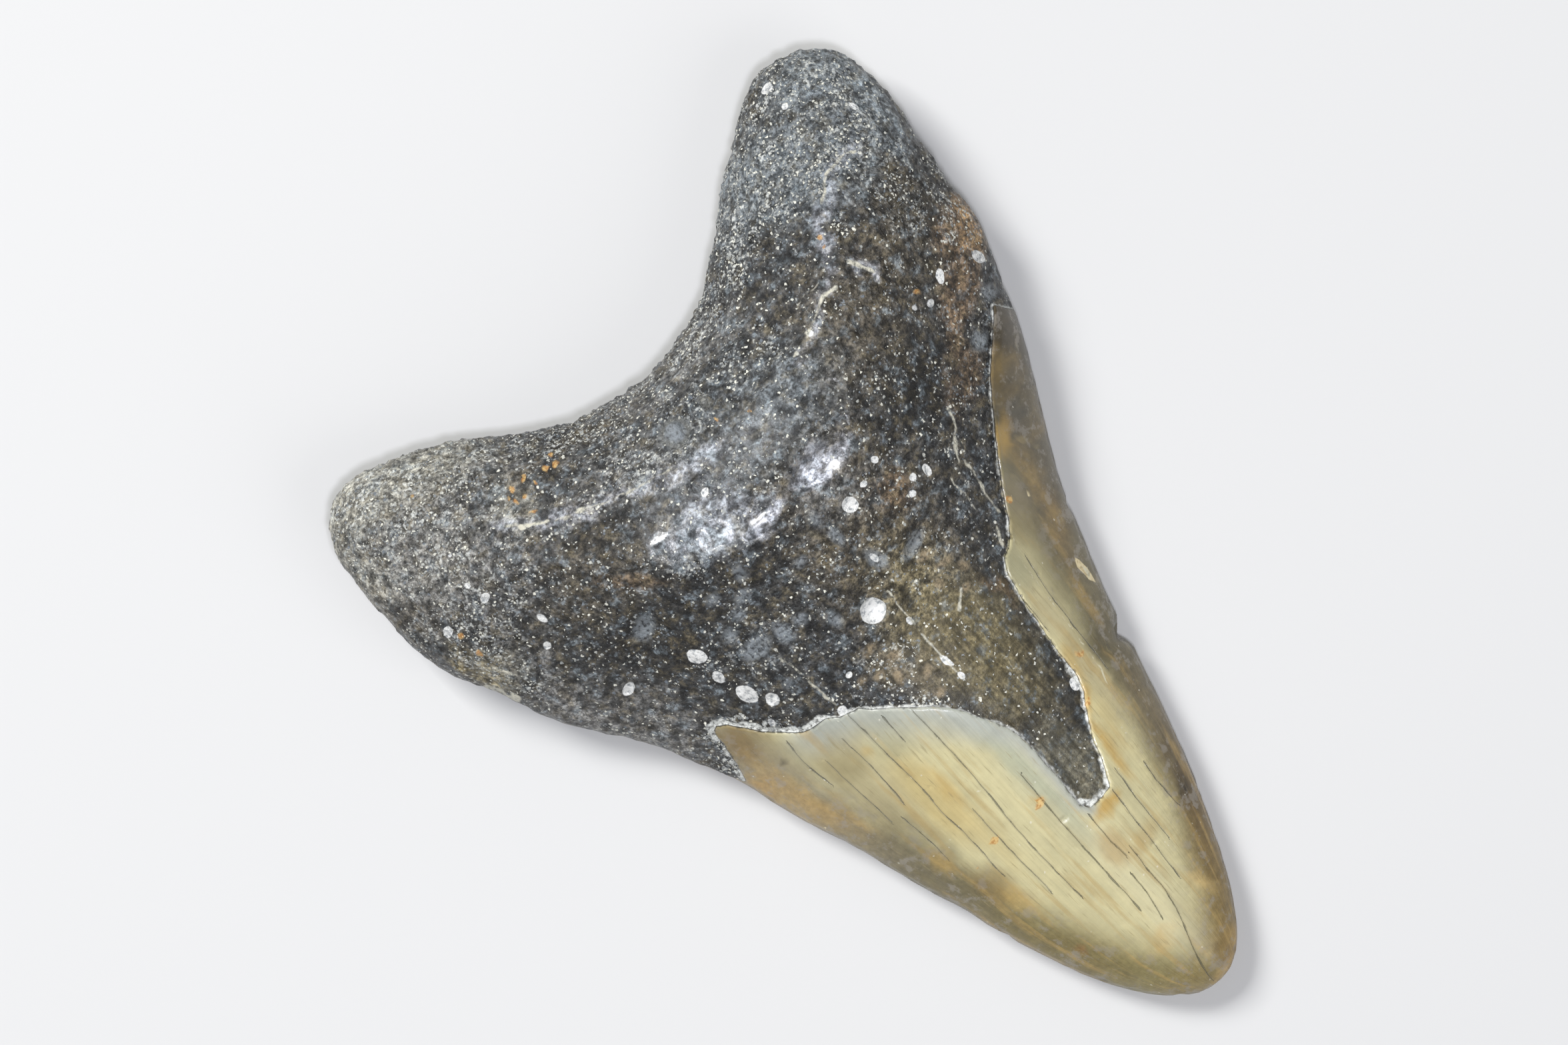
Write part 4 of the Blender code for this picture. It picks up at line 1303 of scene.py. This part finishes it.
# %% [markdown]
# Streaks are noise that is stretched along the tooth. The enamel's stripes and cracks use them, and so does
# the root's tongue. They follow the stored coordinate across the stripes, so they bend with the blades.

# %% Streaks
y_place = graph.node("ShaderNodeSeparateXYZ", {0: place}).node.outputs["Y"]
stripe = graph.stored("stripe")


def streaks(across, along, detail=3.0):
    """Noise in long streaks that follow the enamel's stripes."""
    x = graph.maths("DIVIDE", stripe, across)
    y = graph.maths("DIVIDE", y_place, along)
    return graph.noise(graph.node("ShaderNodeCombineXYZ", {"X": x, "Y": y}), 1.0, detail)


print("streaks follow the blades")

# %% [markdown]
# ### Root
#
# Under a lens the root is a dark, mottled ground set with pale grains, which are the filled canals of the
# bone. Near white, the grains are also painted glints: they stand for the tiny shines of the root's glossy
# surface too. Three sizes of Voronoi cells make them. A grain sits in the middle of a cell where the cell's
# random number is lower than the stored density. Two more random numbers of the cell set how large and how
# bright its grain is, because equal dots would look printed. The places are warped by noise first, so that
# no grain is round.

# %% Root ground
mottle = graph.noise(place, 0.85, 6.0, 0.62)
fine_mottle = graph.noise(place, 2.4, 4.0, 0.7)
hue = graph.noise(place, 0.7, 6.0, 0.7)
grain = graph.stored("grain")
crowded = graph.between(grain, 0.4, 0.8)
darkest = graph.between(crowded, 0.0, 1.0, 0.2, 0.5)
palest = graph.between(crowded, 0.0, 1.0, 2.6, 1.9)
shade = graph.between(mottle, 0.34, 0.66, darkest, palest)
shade = graph.times(shade, graph.between(fine_mottle, 0.36, 0.66, 0.4, 2.0))
on_tongue = graph.between(y_place, 3.0, -6.0)
coarseness = graph.between(grain, 0.2, 0.85, 0.85, 1.0)
coarseness = graph.times(coarseness, graph.between(on_tongue, 0.0, 1.0, 1.0, 0.45))
shade = graph.blend(coarseness, 1.0, shade)
ground = graph.mix(graph.between(hue, 0.53, 0.63, 0, 0.45), painted_colour, ink(97, 106, 111))
ground = graph.mix(graph.between(hue, 0.5, 0.38, 0, 0.45), ground, ink(78, 70, 50))
streak = graph.blend(on_tongue, 1.0, graph.between(streaks(0.5, 5.0), 0.35, 0.65, 0.75, 1.3))
ground = graph.scaled(ground, graph.times(shade, streak))
thick = graph.between(graph.noise(place, 0.42, 4.0, 0.6), 0.36, 0.64, 0.3, 1.35)
density = graph.times(grain, thick)
print("the root's ground has", len(fossil.node_tree.nodes), "nodes so far")

# %% Root grains and painted glints
GRAIN_AND_GLINT_LAYERS = [
    # distance between grains in mm, smallest and largest half width, share of the cells that have one
    (1.1, 0.05, 0.18, 0.3),
    (0.55, 0.12, 0.32, 0.8),
    (0.3, 0.22, 0.5, 1.0),
]


def pale_grains_and_glints(place, cell_size, smallest, largest, most):
    """A mask of pale grains and painted glints, one in the middle of each chosen cell, and a random tone for
    each.
    """
    gap, random = graph.cells(place, cell_size)
    chosen = graph.maths("LESS_THAN", random[0], graph.times(density, most))
    size = graph.between(random[1], 0.0, 1.0, smallest, largest)
    shape = graph.between(graph.maths("SUBTRACT", size, gap), -0.06, 0.08)
    return graph.times(shape, chosen), graph.maths("POWER", random[2], 1.3)


warp = graph.node("ShaderNodeTexNoise", {"Vector": place, "Scale": 3.4, "Detail": 2.0}, "Color")
grain_place = graph.node("ShaderNodeVectorMath", {0: place, 1: graph.scaled(warp, 0.42)}, operation="ADD")
root_colour = ground
grain_and_glint_mask = 0.0
for layer in GRAIN_AND_GLINT_LAYERS:
    grains_and_glints_here, tone = pale_grains_and_glints(grain_place, *layer)
    # The grains' near-white tone is pale mineral and painted glint at once.
    pale = graph.mix(tone, ink(104, 112, 120), ink(246, 244, 228))
    root_colour = graph.mix(graph.times(grains_and_glints_here, 0.95), root_colour, pale)
    grain_and_glint_mask = graph.maths("MAXIMUM", grain_and_glint_mask, graph.times(grains_and_glints_here, tone))
print(len(GRAIN_AND_GLINT_LAYERS), "sizes of grain, the largest", GRAIN_AND_GLINT_LAYERS[0][0], "mm apart")

# %% Grit of the lobes
# The tops of the modelled grit are painted pale: partly pale grains, partly painted glints on them.
grit = graph.maths("ADD", graph.stored("grit"), graph.between(fine_mottle, 0.2, 0.8, -0.45, 0.45))
grit_share = graph.times(graph.between(grit, 0.3, 0.7), graph.between(density, 0.25, 0.9, 0.0, 0.65))
grit_grain_and_glint_colour = graph.mix(graph.between(fine_mottle, 0.35, 0.65), ink(96, 104, 112), ink(232, 234, 228))
root_colour = graph.mix(grit_share, root_colour, grit_grain_and_glint_colour)
grain_and_glint_mask = graph.maths("MAXIMUM", grain_and_glint_mask, grit_share)
print("the grit that is modelled is pale on top too")

# %% Marks on the root
ROOT_MARKS = [
    # name, light shade, dark shade, softness of the edge in mm, how much it covers
    ("blue_spot", (146, 153, 157), (56, 58, 60), 0.5, 0.72),
    ("tan_spot", (154, 138, 110), (92, 84, 68), 0.35, 0.85),
    ("knob", (140, 146, 150), (84, 86, 86), 0.7, 1.0),
    ("groove", (112, 112, 106), (52, 52, 48), 0.3, 1.0),
    ("white_spot", (234, 234, 230), (140, 145, 148), 0.05, 1.0),
    ("vein", (212, 208, 190), (126, 128, 120), 0.1, 1.0),
    ("crust", (226, 228, 222), (112, 112, 108), 0.14, 1.0),
]
mark_tone = graph.between(graph.noise(place, 2.4, 4.0, 0.6), 0.3, 0.56)


def mark(below, name, light, dark, softness, cover):
    """Lays a spot or vein over the colour below, mottled between a light and a dark shade."""
    shape = graph.between(graph.stored(name), -softness, softness, 0.0, cover)
    return graph.mix(shape, below, graph.mix(mark_tone, ink(*dark), ink(*light)))


for row in ROOT_MARKS:
    root_colour = mark(root_colour, *row)
print(len(ROOT_MARKS), "kinds of mark on the root")

# %% [markdown]
# ### Enamel
#
# Enamel is glassy, and stained through its depth. Its stripes are long streaks of noise: the coordinate
# across the stripes is scaled up and the one along the tooth is scaled down. Hairline cracks follow the
# stripes. They are dark because dirt has got into them, and they come and go along their way.

# %% Enamel stripes
BROAD_STRIPE = (1.6, 22.0)
NARROW_STRIPE = (0.3, 9.0)
narrow = streaks(*NARROW_STRIPE, 4.0)
enamel_colour = graph.tint(streaks(*BROAD_STRIPE), painted_colour, (0.84, 0.86, 0.88), (1.14, 1.11, 1.06))
enamel_colour = graph.tint(narrow, enamel_colour, (0.86, 0.87, 0.88), (1.14, 1.13, 1.1))
thread = graph.between(streaks(0.22, 3.0, 2.0), 0.6, 0.74, 0.0, 0.5)
enamel_colour = graph.mix(thread, enamel_colour, socket_value(OLIVE))
ochre_streak = graph.between(streaks(1.2, 13.0, 4.0), 0.52, 0.68, 0.0, 0.5)
enamel_colour = graph.mix(ochre_streak, enamel_colour, ink(172, 146, 92))
cloud = graph.noise(place, 0.5, 5.0, 0.65)
enamel_colour = graph.tint(cloud, enamel_colour, (0.8, 0.79, 0.78), (1.2, 1.21, 1.2))
print("the stripes are about", NARROW_STRIPE[0], "and", BROAD_STRIPE[0], "mm wide")

# %% Worn blades
WORN_WIDTH = 6.0
worn = graph.between(graph.stored("rim"), WORN_WIDTH, 1.5)
scuff = graph.noise(place, 1.4, 5.0, 0.72)
scuffed = graph.tint(scuff, enamel_colour, (0.45, 0.44, 0.42), (1.6, 1.57, 1.52))
enamel_colour = graph.mix(worn, enamel_colour, scuffed)
haze = graph.times(worn, graph.between(graph.noise(place, 0.6, 5.0, 0.7), 0.52, 0.62, 0.0, 0.5))
enamel_colour = graph.mix(haze, enamel_colour, ink(150, 144, 134))
print("the last", WORN_WIDTH, "mm towards the blades are scuffed")

# %% Enamel flecks
FLECKED_SHARE = 0.1
gap, random = graph.cells(grain_place, 0.75)
chosen = graph.maths("LESS_THAN", random[0], FLECKED_SHARE)
fleck = graph.times(graph.between(gap, 0.16, 0.08), chosen)
enamel_colour = graph.mix(graph.times(fleck, 0.5), enamel_colour, ink(226, 222, 206))
print(FLECKED_SHARE, "of the cells have a pale fleck")

# %% Enamel cracks
CRACK_REACH = 0.3
crack_width = graph.between(streaks(0.7, 2.2, 4.0), 0.46, 0.66, -0.02, 0.06)
from_crack = graph.maths("ABSOLUTE", graph.stored("crack_side"))
is_near = graph.maths("LESS_THAN", graph.stored("crack_gap"), CRACK_REACH)
crack = graph.times(graph.between(graph.maths("SUBTRACT", crack_width, from_crack), -0.08, 0.05), is_near)
crack_halo = graph.times(graph.between(from_crack, 0.2, 0.0, 0.0, 0.32), is_near)
enamel_colour = graph.mix(crack_halo, enamel_colour, socket_value(SMUDGE))
enamel_colour = graph.mix(graph.times(crack, 0.54), enamel_colour, ink(98, 98, 82))
enamel_colour = mark(enamel_colour, "cream_spot", (216, 200, 158), (176, 158, 116), 0.05, 1.0)
enamel_colour = mark(enamel_colour, "enamel_vein", (206, 200, 170), (160, 150, 120), 0.05, 1.0)
print("a crack colours the enamel up to", CRACK_REACH, "mm away")

# %% [markdown]
# ### Join root and enamel
#
# Everything now meets in one shader. The enamel is smoother than the root and mirrors more. Where the root
# was rubbed to a polish, a glassy coat lies over it, broken up by noise. What is finer than the skin's net
# is left to a bump of a third of a millimetre at most.

# %% Join root and enamel
colour = graph.mix(is_enamel, root_colour, enamel_colour)
ochre_shape = graph.between(graph.stored("ochre_spot"), -0.1, 0.12)
ochre_tone = graph.between(graph.noise(place, 3.0, 2.0), 0.4, 0.6)
ochre = graph.mix(ochre_tone, ink(178, 126, 66), ink(214, 180, 118))
colour = graph.mix(graph.times(ochre_shape, 0.85), colour, ochre)

gloss = graph.stored("gloss")
root_rough = graph.blend(gloss, 0.3, 0.2)
enamel_rough = graph.between(narrow, 0.3, 0.7, 0.24, 0.36)
broken = graph.between(graph.noise(place, 1.1, 4.0, 0.6), 0.4, 0.56, 0.15, 1.0)
coat = graph.times(graph.times(gloss, broken), graph.maths("SUBTRACT", 1.0, is_enamel))

root_bump = graph.maths("ADD", graph.times(grain_and_glint_mask, 0.3), fine_mottle)
root_bump = graph.maths("ADD", root_bump, graph.times(mottle, 1.2))
root_bump = graph.times(root_bump, graph.between(gloss, 0.0, 1.0, 1.0, 0.14))
root_bump = graph.times(root_bump, coarseness)
enamel_bump = graph.maths("SUBTRACT", graph.times(narrow, 0.1), graph.times(crack, 0.4))
bump_height = graph.blend(is_enamel, root_bump, enamel_bump)
bump = graph.node("ShaderNodeBump", {"Height": bump_height, "Strength": 1.0, "Distance": 0.3 * MM})

shader_inputs = {
    "Base Color": colour,
    "Roughness": graph.blend(is_enamel, root_rough, enamel_rough),
    "Specular IOR Level": graph.blend(is_enamel, 0.36, 0.55),
    "Normal": bump,
    "Coat Weight": coat,
    "Coat Normal": bump,
}
for name, value in shader_inputs.items():
    fossil.node_tree.links.new(value, shader.inputs[name])
shader.inputs["Coat IOR"].default_value = 2.0
shader.inputs["Coat Roughness"].default_value = 0.26
tooth.data.materials.clear()
tooth.data.materials.append(fossil)
print("the material has", len(fossil.node_tree.nodes), "nodes")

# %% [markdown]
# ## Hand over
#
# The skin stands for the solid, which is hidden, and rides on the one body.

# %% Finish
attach(tooth, "root")
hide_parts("tooth")
